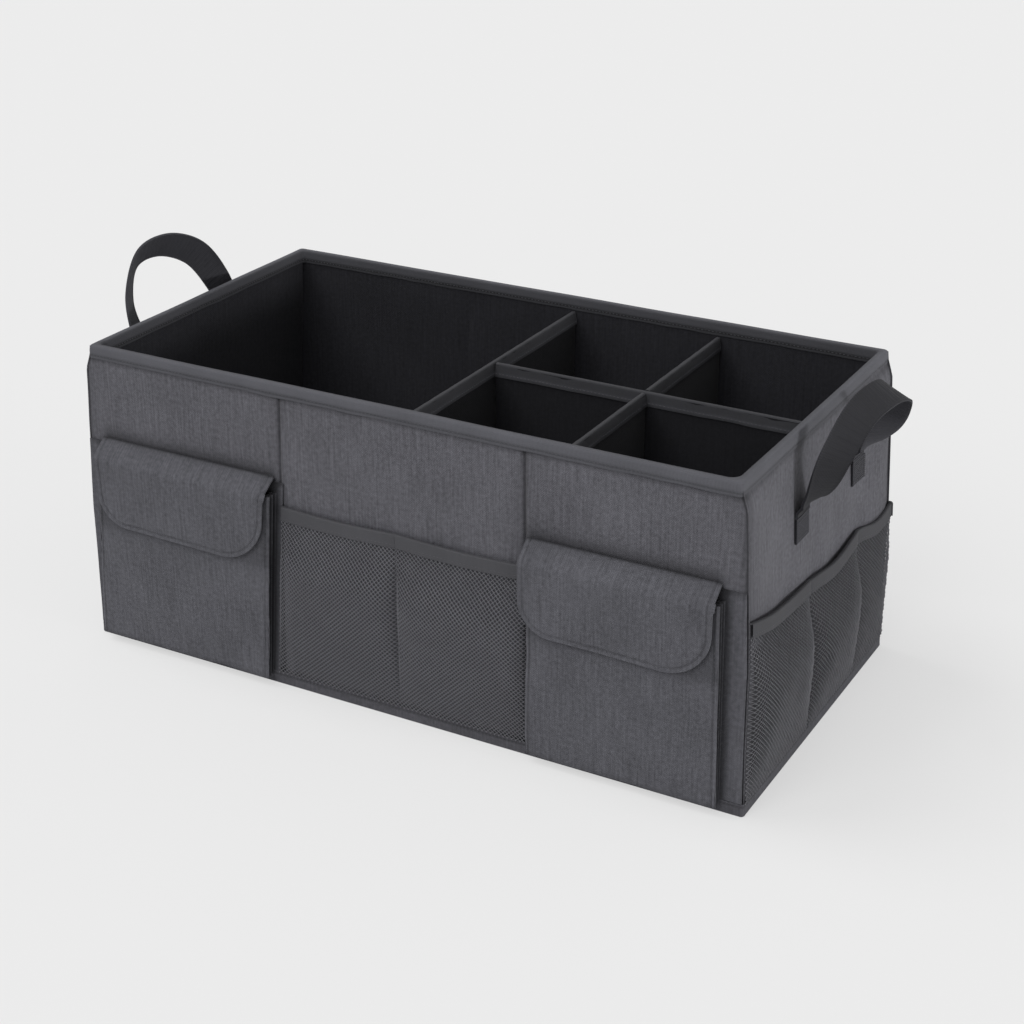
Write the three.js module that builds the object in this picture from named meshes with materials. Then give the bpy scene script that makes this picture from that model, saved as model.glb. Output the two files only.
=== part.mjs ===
// A car trunk organizer: a boxy carrier of cloth-covered boards with a bound rim.
// It has dividers, two front pockets under flaps, net pockets on the front and on one
// end, and a webbing handle at each end. Millimetres, X along the length, the front
// faces -Y, Z up, and the origin is the centre of the underside.
import * as THREE from 'three';

// Size of the whole box, measured over its hem and rim binding
const length = 600;
const depth = 303;
const height = 266;
const endLean = 14.5; // each end wall leans in by this much at the rim

// Layers of the walls, from the outside in
const tapeThick = 0.9;
const clothThick = 1.2;
const boardThick = 3;
const liningThick = 1;
const gap = 0.3; // left between layers that lie on each other
const bindingTall = 11;
const hemTall = 11;

// Fold lines of the long walls, where the boards stop short of each other. Each keeps
// its distance from its own end of the box, as the pocket beside it does.
const leftFoldLow = 191;
const leftFoldHigh = 200;
const rightFoldLow = 182.5;
const rightFoldHigh = 185;
const foldLines = [
  { side: -1, low: leftFoldLow, high: leftFoldHigh },
  { side: 1, low: rightFoldLow, high: rightFoldHigh },
];
const foldWidth = 4;
const foldDip = 0.6;

// Dividers
const dividerThick = 4.2;
const dividerTop = 253.5;
const mainDividerX = 4;
const longDividerY = 2;
const shortDividerX = 140;

// Front pockets with bellows sides and a flap each. A flap's upright edges lie inside
// its pocket's edges by one amount at the seam and by another at the lower edge.
const leftPocketGapLow = 9.5;
const leftPocketGapHigh = 13;
const leftPocketWidth = 172;
const rightPocketGapLow = 19;
const rightPocketGapHigh = 13;
const rightPocketWidthLow = 159;
const rightPocketWidthHigh = 153;
const pockets = [
  {
    name: 'left', side: -1, cornerGapLow: leftPocketGapLow, cornerGapHigh: leftPocketGapHigh,
    widthLow: leftPocketWidth, widthHigh: leftPocketWidth,
    flapIn: { left: [0, 2], right: [2, 10] },
  },
  {
    name: 'right', side: 1, cornerGapLow: rightPocketGapLow, cornerGapHigh: rightPocketGapHigh,
    widthLow: rightPocketWidthLow, widthHigh: rightPocketWidthHigh,
    flapIn: { left: [-5.5, -5.5], right: [8, 9] },
  },
];
const pocketMouth = 174; // height of the pockets' upper edge
const pocketBottom = 7; // the pockets reach down over the hem
const pocketDepthLow = 10;
const pocketDepthHigh = 12.5;
const backingTop = 183;
const backingThick = 0.8;
const faceThick = 1.2;
const gussetThick = 1;
const pleatDeep = 5;
const pleats = 2;

// Flaps
const hingeHeight = 187;
const flapThick = 1.6;
const flapSlope = 50; // degrees from straight down, from the hinge to the bend
const flapBendRadius = 8;
const flapBottom = 116;
const flapCornerLeft = 27;
const flapCornerRight = 38;
const patchThick = 1;
const patchWide = 60;
const patchTall = 18;
const patchAboveFlapEdge = 9;

// Net pockets
const netThick = 1;
const frontNetTop = 164;
const frontNetSeam = 5;
const frontNetBulge = 10;
const endNetSeams = [-25, 79];
const endNetTops = [160, 139, 137, 135]; // at the front corner, the seams and the back corner
const endNetBulges = [13, 13, 8];
const netBindingTall = 11.5;

// Webbing handles: each route point is how far out of the wall, along it and above
// the sewn ends the middle of the webbing runs. The webbing twists by twistAt degrees
// at a share of the loop, and lift is how far its outer edge then tips up.
const webWide = 25;
const webThick = 1.8;
const legSpan = 120; // between the middles of the two sewn ends
const sewnLow = 178;
const sewnTall = 20;
const flatShare = 0.05; // of the loop at each foot, where the webbing hasn't begun to twist
const handles = [
  {
    name: 'left', side: -1, middle: 2, lift: -60, twistAt: (share) => 180 * share,
    route: [[6, -61, 16], [19, -64, 45], [29, -60, 74], [32, -42, 104], [28, -13, 109],
      [21, 22, 94], [16, 46, 63], [8, 55, 30]],
  },
  {
    name: 'right', side: 1, middle: 22, lift: 18,
    twistAt: (share) => 83 * Math.sin(Math.PI * share) ** 0.6,
    route: [[12, -63, 20], [25, -66, 54], [36, -50, 84], [43, -24, 91], [43, 6, 82],
      [31, 38, 52], [14, 58, 20]],
  },
];

// Places that follow from the sizes above
const slope = endLean / height;
const clothInset = tapeThick + gap;
const boardInset = clothInset + clothThick + gap;
const liningInset = boardInset + boardThick + gap;
const roomInset = liningInset + liningThick;
const trimInset = roomInset + gap;
const boardFloor = clothThick + gap;
const liningFloor = boardFloor + boardThick + gap;
const roomFloor = liningFloor + liningThick;
const wallTop = height - tapeThick - gap;
const dividerBindingHalf = dividerThick / 2 + gap + tapeThick;
const netSeat = tapeThick + 2 * gap;

const organizer = new THREE.Group();

const look = (color, roughness) =>
  new THREE.MeshStandardMaterial({ color, roughness, metalness: 0 });
const outerCloth = look(0x47474b, 0.9);
const liningCloth = look(0x1b1b1e, 0.95);
const board = look(0x8a7a62, 0.9);
const binding = look(0x3a3b3f, 0.85);
const net = look(0x303034, 0.9);
const webbing = look(0x2c2d30, 0.85);
const hookTape = look(0x161618, 0.95);

function add(name, geometry, material) {
  const mesh = new THREE.Mesh(geometry, material);
  mesh.name = name;
  organizer.add(mesh);
  return mesh;
}

// Triangles that close a ring of corners, wound the way the ring runs
function capOf(ring) {
  const normal = new THREE.Vector3();
  ring.forEach((p, i) => {
    const q = ring[(i + 1) % ring.length];
    normal.add(new THREE.Vector3().crossVectors(p, q));
  });
  normal.normalize();
  const across = new THREE.Vector3(1, 0, 0);
  if (Math.abs(normal.x) > 0.8) across.set(0, 1, 0);
  const u = new THREE.Vector3().crossVectors(across, normal).normalize();
  const v = new THREE.Vector3().crossVectors(normal, u);
  const flat = ring.map((p) => new THREE.Vector2(p.dot(u), p.dot(v)));
  return THREE.ShapeUtils.triangulateShape(flat, []).map(([a, b, c]) => {
    const turn = flat[b].clone().sub(flat[a]).cross(flat[c].clone().sub(flat[a]));
    return turn > 0 ? [a, b, c] : [a, c, b];
  });
}

// The same for a ring that runs along one side of a ribbon and back along the other
function ribbonCapOf(ring) {
  const last = ring.length - 1;
  return Array.from({ length: ring.length / 2 - 1 }, (_, i) => [
    [i, i + 1, last - i - 1], [i, last - i - 1, last - i],
  ]).flat();
}

// A closed solid through a row of rings. A closed row joins its last ring to its
// first, and an open one gets an end at each side.
function loft(rings, { closed = false, endOf = capOf } = {}) {
  const count = rings[0].length;
  const corners = rings.flat();
  const faces = [];
  const spans = closed ? rings.length : rings.length - 1;
  for (let r = 0; r < spans; r += 1) {
    const here = r * count;
    const next = ((r + 1) % rings.length) * count;
    for (let i = 0; i < count; i += 1) {
      const j = (i + 1) % count;
      faces.push([here + i, here + j, next + j], [here + i, next + j, next + i]);
    }
  }
  if (!closed) {
    const last = (rings.length - 1) * count;
    endOf(rings[0]).forEach(([a, b, c]) => faces.push([c, b, a]));
    endOf(rings.at(-1)).forEach((face) => faces.push(face.map((k) => last + k)));
  }
  let volume = 0;
  faces.forEach(([a, b, c]) => {
    volume += corners[a].dot(new THREE.Vector3().crossVectors(corners[b], corners[c]));
  });
  const outward = volume > 0 ? faces : faces.map(([a, b, c]) => [a, c, b]);
  const geometry = new THREE.BufferGeometry();
  const positions = corners.flatMap((p) => [p.x, p.y, p.z]);
  geometry.setAttribute('position', new THREE.Float32BufferAttribute(positions, 3));
  geometry.setIndex(outward.flat());
  geometry.computeVertexNormals();
  return geometry;
}

const point = (x, y, z) => new THREE.Vector3(x, y, z);
const mix = THREE.MathUtils.lerp;

// Distance from the middle to an end wall's face, at a height and a depth into it
const endAt = (z, inset) => length / 2 - slope * z - inset;
const sideAt = (inset) => depth / 2 - inset;

// Level ring of the box's outline, at a depth into its walls
function outline(inset, z) {
  const x = endAt(z, inset);
  const y = sideAt(inset);
  return [point(-x, -y, z), point(x, -y, z), point(x, y, z), point(-x, y, z)];
}

// Upright slab whose two ends may lean: fromX and toX give X at a height
function slab(fromX, toX, y0, y1, z0, z1) {
  return loft([z0, z1].map((z) => [
    point(fromX(z), y0, z), point(toX(z), y0, z), point(toX(z), y1, z),
    point(fromX(z), y1, z),
  ]));
}

// Where things on the front and on an end wall go: along it, up, and out of its cloth
const onFront = (along, z, out) => point(along, -sideAt(clothInset) - out, z);
const onEnd = (side) => (along, z, out) =>
  point(side * (endAt(z, clothInset) + out), along, z);

// Base: a cloth tray whose edge is the hem, a loose board and the lining over it
add('base_cloth', loft([
  outline(0, 0), outline(0, hemTall), outline(tapeThick, hemTall),
  outline(tapeThick, clothThick),
]), outerCloth);
add('base_board', loft([
  outline(liningInset, boardFloor), outline(liningInset, liningFloor - gap),
]), board);
add('base_lining', loft([
  outline(liningInset, liningFloor), outline(liningInset, roomFloor),
]), liningCloth);

// Long walls: cloth with a dip at each fold, boards between the folds, and lining
const foldAt = (fold, z) =>
  fold.side * (length / 2 - mix(fold.low, fold.high, z / height));
for (const [name, side] of [['front', -1], ['back', 1]]) {
  const face = side * sideAt(clothInset);
  const inner = side * sideAt(clothInset + clothThick);
  add(`${name}_cloth`, loft([boardFloor, wallTop].map((z) => {
    const end = endAt(z, clothInset);
    const dips = foldLines.flatMap((fold) => [-1, 0, 1].map((step) => point(
      foldAt(fold, z) + step * foldWidth / 2,
      face - side * (step === 0 ? foldDip : 0),
      z,
    )));
    return [point(-end, face, z), ...dips, point(end, face, z), point(end, inner, z),
      point(-end, inner, z)];
  })), outerCloth);

  const boardOuter = side * sideAt(boardInset);
  const boardInner = side * sideAt(boardInset + boardThick);
  const edges = [
    (z) => -endAt(z, boardInset),
    ...foldLines.flatMap((fold) => [
      (z) => foldAt(fold, z) - foldWidth / 2, (z) => foldAt(fold, z) + foldWidth / 2,
    ]),
    (z) => endAt(z, boardInset),
  ];
  ['left', 'middle', 'right'].forEach((part, i) => {
    add(`${name}_board_${part}`, slab(edges[2 * i], edges[2 * i + 1], boardOuter,
      boardInner, boardFloor, wallTop), board);
  });

  const end = (z) => endAt(z, liningInset);
  add(`${name}_lining`, slab((z) => -end(z), end, side * sideAt(liningInset),
    side * sideAt(roomInset), roomFloor + gap, wallTop), liningCloth);
}

// End walls: their layers fit between those of the long walls
function endLayer(side, outer, thick, sideInset, z0) {
  const y = sideAt(sideInset);
  return slab((z) => side * endAt(z, outer), (z) => side * endAt(z, outer + thick),
    -y, y, z0, wallTop);
}
for (const [name, side] of [['left', -1], ['right', 1]]) {
  const betweenCloths = clothInset + clothThick + gap;
  const betweenBoards = boardInset + boardThick + gap;
  add(`${name}_end_cloth`, endLayer(side, clothInset, clothThick, betweenCloths,
    boardFloor), outerCloth);
  add(`${name}_end_board`, endLayer(side, boardInset, boardThick, betweenBoards,
    boardFloor), board);
  add(`${name}_end_lining`, endLayer(side, liningInset, liningThick, trimInset,
    roomFloor + gap), liningCloth);
}

// Rim binding: a tape folded over the top of the walls all the way round
const rimLow = height - bindingTall;
add('rim_binding', loft([
  outline(0, rimLow), outline(0, height), outline(trimInset + tapeThick, height),
  outline(trimInset + tapeThick, rimLow), outline(trimInset, rimLow),
  outline(trimInset, height - tapeThick), outline(tapeThick, height - tapeThick),
  outline(tapeThick, rimLow),
], { closed: true }), binding);

// Section of a tape folded over an edge, in steps across and up
function foldedTape(half, low, top) {
  const outer = half + tapeThick;
  return [
    [outer, low], [outer, top], [-outer, top], [-outer, low], [-half, low],
    [-half, top - tapeThick], [half, top - tapeThick], [half, low],
  ];
}

// Dividers: cloth-covered boards with bound upper edges
function divider(name, alongX, place, from, to) {
  const half = dividerThick / 2;
  const top = dividerTop - tapeThick - gap;
  const z0 = roomFloor + gap;
  const at = (along, across, z) => (alongX ? point(along, place + across, z)
    : point(place + across, along, z));
  const panel = [z0, top].map((z) => [
    at(from(z), -half, z), at(to(z), -half, z), at(to(z), half, z), at(from(z), half, z),
  ]);
  add(`${name}_divider`, loft(panel), liningCloth);
  const section = foldedTape(half + gap, dividerTop - bindingTall, dividerTop);
  add(`${name}_divider_binding`, loft([from, to].map((end) =>
    section.map(([across, z]) => at(end(z), across, z)))), binding);
}
const innerSide = sideAt(trimInset);
const besideBinding = dividerBindingHalf + gap;
divider('main', false, mainDividerX, () => -innerSide, () => innerSide);
divider('long', true, longDividerY, () => mainDividerX + besideBinding,
  (z) => endAt(z, trimInset));
divider('front_short', false, shortDividerX, () => -innerSide,
  () => longDividerY - besideBinding);
divider('back_short', false, shortDividerX, () => longDividerY + besideBinding,
  () => innerSide);

// Front pockets: backing, bellows gusset, face and the soft half of the closure
const aboveHem = hemTall + gap;
const rise = (z) => (z - pocketBottom) / (pocketMouth - pocketBottom);
const pocketDepthAt = (z) => mix(pocketDepthLow, pocketDepthHigh, rise(z));

// Outer and inner upright edge of a pocket, at a height
function pocketEdges(pocket) {
  const outer = (z) => endAt(z, 0) - mix(pocket.cornerGapLow, pocket.cornerGapHigh, rise(z));
  const inner = (z) => outer(z) - mix(pocket.widthLow, pocket.widthHigh, rise(z));
  return pocket.side < 0 ? { left: (z) => -outer(z), right: (z) => -inner(z) }
    : { left: inner, right: outer };
}

function backing(pocket) {
  const { left, right } = pocketEdges(pocket);
  const corner = (z) => pocket.side * (endAt(z, clothInset) - gap);
  const [from, to] = pocket.side < 0 ? [corner, right] : [left, corner];
  const y = -sideAt(clothInset);
  add(`${pocket.name}_pocket_backing`, slab(from, to, y - gap, y - gap - backingThick,
    aboveHem, backingTop), outerCloth);
}

const gussetSeat = clothInset + gap; // clear of the backing and of the hem
function gusset(pocket) {
  const { left, right } = pocketEdges(pocket);
  const steps = 2 * pleats;
  const zigzag = Array.from({ length: steps + 1 }, (_, i) => [
    i % 2 === 1 ? pleatDeep : 0, i / steps,
  ]);
  const section = [...zigzag,
    ...zigzag.map(([in_, share]) => [in_ + gussetThick, share]).reverse()];
  const stations = [
    { edge: left, z: pocketMouth, inX: 1, inZ: 0 },
    { edge: left, z: pocketBottom, inX: 1, inZ: 1 },
    { edge: right, z: pocketBottom, inX: -1, inZ: 1 },
    { edge: right, z: pocketMouth, inX: -1, inZ: 0 },
  ];
  add(`${pocket.name}_pocket_gusset`, loft(stations.map(({ edge, z, inX, inZ }) =>
    section.map(([in_, share]) => {
      const height_ = z + in_ * inZ;
      const out = mix(gussetSeat, pocketDepthAt(height_) - faceThick - gap, share);
      return onFront(edge(height_) + in_ * inX, height_, out);
    })), { endOf: ribbonCapOf }), outerCloth);
}

// Plate that lies on the pocket's leaning front, between two depths over it
function leaningPlate(left, right, z0, z1, from, to) {
  return loft([z0, z1].map((z) => [
    onFront(left(z), z, pocketDepthAt(z) + from), onFront(right(z), z, pocketDepthAt(z) + from),
    onFront(right(z), z, pocketDepthAt(z) + to), onFront(left(z), z, pocketDepthAt(z) + to),
  ]));
}

const patchLow = flapBottom + patchAboveFlapEdge;
const patchStack = 2 * patchThick + 3 * gap; // room for both halves of the closure
function patchSpan(pocket) {
  const { left, right } = pocketEdges(pocket);
  const middle = (left(patchLow) + right(patchLow)) / 2;
  return [() => middle - patchWide / 2, () => middle + patchWide / 2];
}

for (const pocket of pockets) {
  const { left, right } = pocketEdges(pocket);
  backing(pocket);
  gusset(pocket);
  add(`${pocket.name}_pocket_face`, leaningPlate(left, right, pocketBottom, pocketMouth,
    -faceThick, 0), outerCloth);
  add(`${pocket.name}_pocket_loop_patch`, leaningPlate(...patchSpan(pocket), patchLow,
    patchLow + patchTall, gap, gap + patchThick), hookTape);
}

// Flaps: each leaves its sewn line, bends over the pocket's mouth and hangs before it
const hingeOut = gap + flapThick / 2;
const hangSlope = Math.atan((pocketDepthHigh - pocketDepthLow) / (pocketMouth - pocketBottom));
const hangOut = (z) => pocketDepthAt(z) + patchStack + flapThick / 2;

// Middle line of a flap's section as [out, z, heading], heading from straight down
function flapLine() {
  const start = THREE.MathUtils.degToRad(flapSlope);
  const bendAngle = start + hangSlope;
  const reach = (z) => hangOut(z) - (hingeOut + (hingeHeight - z) * Math.tan(start));
  let [low, high] = [flapBottom, hingeHeight];
  for (let i = 0; i < 60; i += 1) {
    const z = (low + high) / 2;
    if (reach(z) > 0) high = z; else low = z;
  }
  const corner = { out: hangOut(low), z: low }; // where the two straight lines cross
  const tangent = flapBendRadius * Math.tan(bendAngle / 2);
  const from = {
    out: corner.out - tangent * Math.sin(start),
    z: corner.z + tangent * Math.cos(start),
  };
  const steps = 6;
  const line = [[hingeOut, hingeHeight, start]];
  for (let i = 0; i <= steps; i += 1) {
    const heading = start - bendAngle * i / steps;
    const turned = bendAngle * i / steps;
    const chord = 2 * flapBendRadius * Math.sin(turned / 2);
    const facing = start - turned / 2;
    line.push([from.out + chord * Math.sin(facing), from.z - chord * Math.cos(facing), heading]);
  }
  return { line, heading: -hangSlope };
}

function flap(pocket) {
  const { left, right } = pocketEdges(pocket);
  const { line, heading } = flapLine();
  const bend = line.at(-1);
  const arcSteps = 6;
  // Places along the flap, each with its X at the seam and at the lower edge, and the
  // height at which the flap ends there
  const cornerPlaces = (edge, inward, insets, corner) =>
    Array.from({ length: arcSteps + 1 }, (_, i) => {
      const angle = Math.PI / 2 * i / arcSteps;
      const d = corner * (1 - Math.cos(angle));
      const [seam, low] = insets.map((inset) => edge + inward * (inset + d));
      return { seam, low, end: flapBottom + corner * (1 - Math.sin(angle)) };
    });
  const stations = [
    ...cornerPlaces(left(pocketMouth), 1, pocket.flapIn.left, flapCornerLeft),
    ...cornerPlaces(right(pocketMouth), -1, pocket.flapIn.right, flapCornerRight).reverse(),
  ];
  add(`${pocket.name}_flap`, loft(stations.map(({ seam, low, end }) => {
    const drop = bend[1] - end;
    const whole = [...line, [bend[0] + drop * Math.tan(heading), end, heading]];
    const xAt = (z) => mix(low, seam, (z - flapBottom) / (hingeHeight - flapBottom));
    const side = (sign) => whole.map(([out, height_, facing]) => onFront(xAt(height_),
      height_ + sign * flapThick / 2 * Math.sin(facing),
      out + sign * flapThick / 2 * Math.cos(facing)));
    return [...side(1), ...side(-1).reverse()];
  }), { endOf: ribbonCapOf }), outerCloth);
  add(`${pocket.name}_flap_hook_patch`, leaningPlate(...patchSpan(pocket), patchLow,
    patchLow + patchTall, patchStack - gap - patchThick, patchStack - gap), hookTape);
}
pockets.forEach(flap);

// Net pockets: stops are the upright lines where the net is sewn down
const netSpans = 12;
const netRows = 8;
function netPanel(name, stops, tops, bulges, place) {
  const swell = (u) => Math.sqrt(Math.max(0, 1 - Math.abs(2 * u - 1) ** 4));
  const grow = (v) => Math.sin(0.8 * Math.PI * v);
  const columns = [];
  stops.slice(1).forEach((stop, i) => {
    for (let k = i === 0 ? 0 : 1; k <= netSpans; k += 1) {
      const u = (1 - Math.cos(Math.PI * k / netSpans)) / 2;
      columns.push({
        at: (z) => mix(stops[i](z), stop(z), u), top: mix(tops[i], tops[i + 1], u),
        bulge: bulges[i] * swell(u),
      });
    }
  });
  const low = aboveHem;
  const boundLow = ({ top }) => top - netBindingTall;
  const outAt = (column, z) => netSeat
    + column.bulge * grow((Math.min(z, boundLow(column)) - low) / (column.top - low));
  add(name, loft(columns.map((column) => {
    const heights = Array.from({ length: netRows }, (_, i) =>
      mix(low, boundLow(column), i / (netRows - 1)));
    heights.push(column.top - tapeThick - gap);
    const side = (thick) => heights.map((z) => place(column.at(z), z, outAt(column, z) + thick));
    return [...side(netThick), ...side(0).reverse()];
  }), { endOf: ribbonCapOf }), net);
  add(`${name}_binding`, loft(columns.map((column) =>
    foldedTape(netThick / 2 + gap, boundLow(column), column.top).map(([across, z]) =>
      place(column.at(z), z, outAt(column, z) + netThick / 2 + across)))), binding);
}
const [leftPocket, rightPocket] = pockets.map(pocketEdges);
netPanel('front_net', [
  (z) => leftPocket.right(z) + gap, () => frontNetSeam, (z) => rightPocket.left(z) - gap,
], [frontNetTop, frontNetTop, frontNetTop], [frontNetBulge, frontNetBulge], onFront);
const endNetHalf = sideAt(clothInset + clothThick);
netPanel('end_net', [
  () => -endNetHalf, ...endNetSeams.map((seam) => () => seam), () => endNetHalf,
], endNetTops, endNetBulges, onEnd(1));

// Webbing handles: two sewn ends that lie on the wall, and the loop between them
function handle({ name, side, middle, lift, twistAt, route }) {
  const place = onEnd(side);
  const loopFoot = sewnLow + sewnTall + gap;
  const webOut = gap + webThick / 2;
  const ends = [['front', -1], ['back', 1]];
  for (const [end, toward] of ends) {
    const y = middle + toward * legSpan / 2;
    add(`${name}_handle_${end}_end`, loft([sewnLow, sewnLow + sewnTall].map((z) => [
      place(y - webWide / 2, z, gap), place(y + webWide / 2, z, gap),
      place(y + webWide / 2, z, gap + webThick), place(y - webWide / 2, z, gap + webThick),
    ])), webbing);
  }
  const foot = (toward) => place(middle + toward * legSpan / 2, loopFoot, webOut);
  const rising = 4; // the webbing leaves its sewn ends straight up the wall
  const above = (toward) => place(middle + toward * legSpan / 2, loopFoot + rising, webOut);
  const curve = new THREE.CatmullRomCurve3([
    foot(-1), above(-1),
    ...route.map(([out, along, up]) => place(middle + along, loopFoot + up, webOut + out)
      .setX(side * (endAt(loopFoot, clothInset) + webOut + out))),
    above(1), foot(1),
  ]);
  const steps = 44;
  const tip = THREE.MathUtils.degToRad(lift);
  const tipped = point(side * Math.cos(tip), 0, Math.sin(tip));
  add(`${name}_handle`, loft(Array.from({ length: steps + 1 }, (_, i) => {
    const t = i / steps;
    const centre = curve.getPointAt(t);
    const along = i === 0 || i === steps ? point(0, 0, i === 0 ? 1 : -1) : curve.getTangentAt(t);
    const share = THREE.MathUtils.clamp((t - flatShare) / (1 - 2 * flatShare), 0, 1);
    const turn = THREE.MathUtils.degToRad(twistAt(share));
    const across = point(0, Math.cos(turn), 0).addScaledVector(tipped, Math.sin(turn));
    across.addScaledVector(along, -across.dot(along)).normalize();
    const through = new THREE.Vector3().crossVectors(along, across);
    return [[-1, -1], [1, -1], [1, 1], [-1, 1]].map(([a, b]) => centre.clone()
      .addScaledVector(across, a * webWide / 2).addScaledVector(through, b * webThick / 2));
  })), webbing);
}
handles.forEach(handle);

export default organizer;
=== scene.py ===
# %% [markdown]
# A car trunk organizer: a box of cloth sewn over boards, with a bound rim, dividers,
# flap pockets, net pockets and webbing handles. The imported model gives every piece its
# size and place. This script dresses it: each cloth layer becomes a fine mesh with the
# dips, puckers and stitches that sewing leaves, and each finish is made of nodes.

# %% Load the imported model
import math
import bpy
import numpy as np
from mathutils import Matrix, Vector


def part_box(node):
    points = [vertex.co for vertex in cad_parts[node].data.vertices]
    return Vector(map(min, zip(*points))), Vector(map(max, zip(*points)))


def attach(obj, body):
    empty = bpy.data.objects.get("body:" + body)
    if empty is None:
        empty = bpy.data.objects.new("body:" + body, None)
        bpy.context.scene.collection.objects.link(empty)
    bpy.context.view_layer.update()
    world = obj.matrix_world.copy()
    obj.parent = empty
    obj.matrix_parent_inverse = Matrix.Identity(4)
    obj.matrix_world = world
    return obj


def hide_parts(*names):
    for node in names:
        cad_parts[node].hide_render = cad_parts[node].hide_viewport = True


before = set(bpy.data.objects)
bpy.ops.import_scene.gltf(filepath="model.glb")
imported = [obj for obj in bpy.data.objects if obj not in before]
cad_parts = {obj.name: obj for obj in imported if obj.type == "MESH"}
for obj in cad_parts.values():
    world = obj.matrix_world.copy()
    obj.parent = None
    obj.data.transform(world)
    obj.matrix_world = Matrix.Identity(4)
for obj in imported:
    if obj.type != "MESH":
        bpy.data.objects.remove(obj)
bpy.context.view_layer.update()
MM = 0.001
print("nodes", len(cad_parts))

# %% [markdown]
# The camera comes first. A product photo like this one is taken with a long lens from
# above a front corner, so the box's upright edges stay nearly upright. The numbers were
# worked out from the corners of the box, and the frame is square.

# %% Camera
AZIMUTH, ELEVATION = math.radians(28.90), math.radians(24.83)
DISTANCE = 1.687
AIM_RIGHT, AIM_UP = 0.0198, 0.1085
SENSOR, LENS = 36.0, 68.73

back = Vector((math.sin(AZIMUTH) * math.cos(ELEVATION),
               -math.cos(AZIMUTH) * math.cos(ELEVATION), math.sin(ELEVATION)))
right = Vector((math.cos(AZIMUTH), math.sin(AZIMUTH), 0))
up = back.cross(right)
camera = bpy.data.objects.new("camera", bpy.data.cameras.new("camera"))
camera.data.lens, camera.data.sensor_width = LENS, SENSOR
camera.data.clip_end = 20
turn = Matrix((right, up, back)).transposed().to_4x4()
camera.matrix_world = Matrix.Translation(
    back * DISTANCE + right * AIM_RIGHT + up * AIM_UP) @ turn
bpy.context.scene.collection.objects.link(camera)
bpy.context.scene.camera = camera
print("camera at", [round(v, 3) for v in camera.matrix_world.translation])

# %% [markdown]
# Sizes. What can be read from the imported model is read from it, and the thicknesses of
# the layers are the ones that the model is built of. Another way is to type all sizes
# again, but then the two models drift apart with the first change.

# %% Sizes shared by all pieces
base_low, base_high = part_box("base_cloth")
rim_low, rim_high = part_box("rim_binding")
LENGTH, DEPTH = base_high.x - base_low.x, base_high.y - base_low.y
HEIGHT, RIM_LOW, HEM = rim_high.z, rim_low.z, base_high.z
SLOPE = (base_high.x - rim_high.x) / RIM_LOW
TAPE, CLOTH, LINING, GAP = 0.9 * MM, 1.2 * MM, 0.9 * MM, 0.3 * MM
FACE_INSET = TAPE + GAP
LINING_INSET, ROOM_INSET = 6.0 * MM, 7.0 * MM
RIM_WIDTH = ROOM_INSET + GAP + TAPE
FLOOR = 5.8 * MM
WALL_LOW, WALL_TOP = 1.5 * MM, HEIGHT - FACE_INSET
FOLDS = [(-109 * MM, -100 * MM), (117.5 * MM, 115 * MM)]
CORNER_BOW = 4.3 * MM
print("box %.3f x %.3f x %.3f m, slope %.4f" % (LENGTH, DEPTH, HEIGHT, SLOPE))

# %% [markdown]
# Every wall is a function: where is its face, at this height and this far into the wall?
# The end walls lean in. Beside its corners the real box stands out a little below the
# rim, where the cloth is sewn round the boards, and the end walls' function adds that.

# %% Where the walls are


def mix(a, b, share):
    return a + (b - a) * share


def smooth(a, b, x):
    """A soft step from zero at a to one at b"""
    t = np.clip((x - a) / (b - a), 0, 1)
    return t * t * (3 - 2 * t)


def end_at(z, inset):
    """Distance from the middle to an end wall's face"""
    return LENGTH / 2 - SLOPE * z - inset


def side_at(inset):
    return DEPTH / 2 - inset


def fold_at(fold, z):
    return mix(fold[0], fold[1], z / HEIGHT)


def front_place(x, z, out, side=-1):
    """Points on a long wall: along it, up it and out of its cloth"""
    x, z, out = np.broadcast_arrays(x, z, out)
    return np.stack([x, side * (side_at(FACE_INSET) + out), z], -1)


def corner_bow(z):
    """How far the box stands out beside its corners, between the hem and the rim"""
    return CORNER_BOW * np.clip(z / 0.12, 0, 1) ** 1.5 * smooth(0.262, 0.242, z)


def end_place(y, z, out, side=1):
    y, z, out = np.broadcast_arrays(y, z, out)
    bow = corner_bow(z) * smooth(0.075, 0.135, np.abs(y))
    return np.stack([side * (end_at(z, FACE_INSET) + bow + out), y, z], -1)


print("the end walls lean in by %.1f degrees" % math.degrees(math.atan(SLOPE)))

# %% [markdown]
# Sewn cloth is never flat. A wall over a board has waves of a few tenths of a
# millimetre, and seams pull small puckers into it. Simulating that takes long and shows
# little, so the waves are sums of a few sines with a fixed seed: cheap, soft and the
# same in each run.

# %% Waves and puckers


def waves(u, v, size, seed):
    """Soft random waves, about one high, with crests about size apart"""
    rng = np.random.default_rng(seed)
    total = 0
    for _ in range(9):
        angle, pace, start = rng.uniform(0, 2 * np.pi), rng.uniform(0.6, 1.5), rng.uniform(0, 7)
        total = total + np.sin(2 * np.pi / size * pace
                               * (u * np.cos(angle) + v * np.sin(angle)) + start)
    return total / 3


def puckers(along, away, size, reach, seed):
    """Small folds across a seam, that fade with the distance away from it"""
    return waves(along, away * 0.15, size, seed) * np.exp(-np.abs(away) / reach)


def groove(away, width):
    """One at a line and zero away from it"""
    return np.exp(-(away / width) ** 2)


probe = waves(np.linspace(0, LENGTH, 200), 0, 0.06, 1)
print("waves from %.2f to %.2f" % (probe.min(), probe.max()))

# %% [markdown]
# Every cloth piece starts as a grid of points on its outer face. The grid gives the
# normals, and the lengths of its own lines give a UV map in metres, so that a weave has
# its real size and follows the cloth round a bend. Unwrapping by hand would take long,
# and its scale would be a guess.

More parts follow.
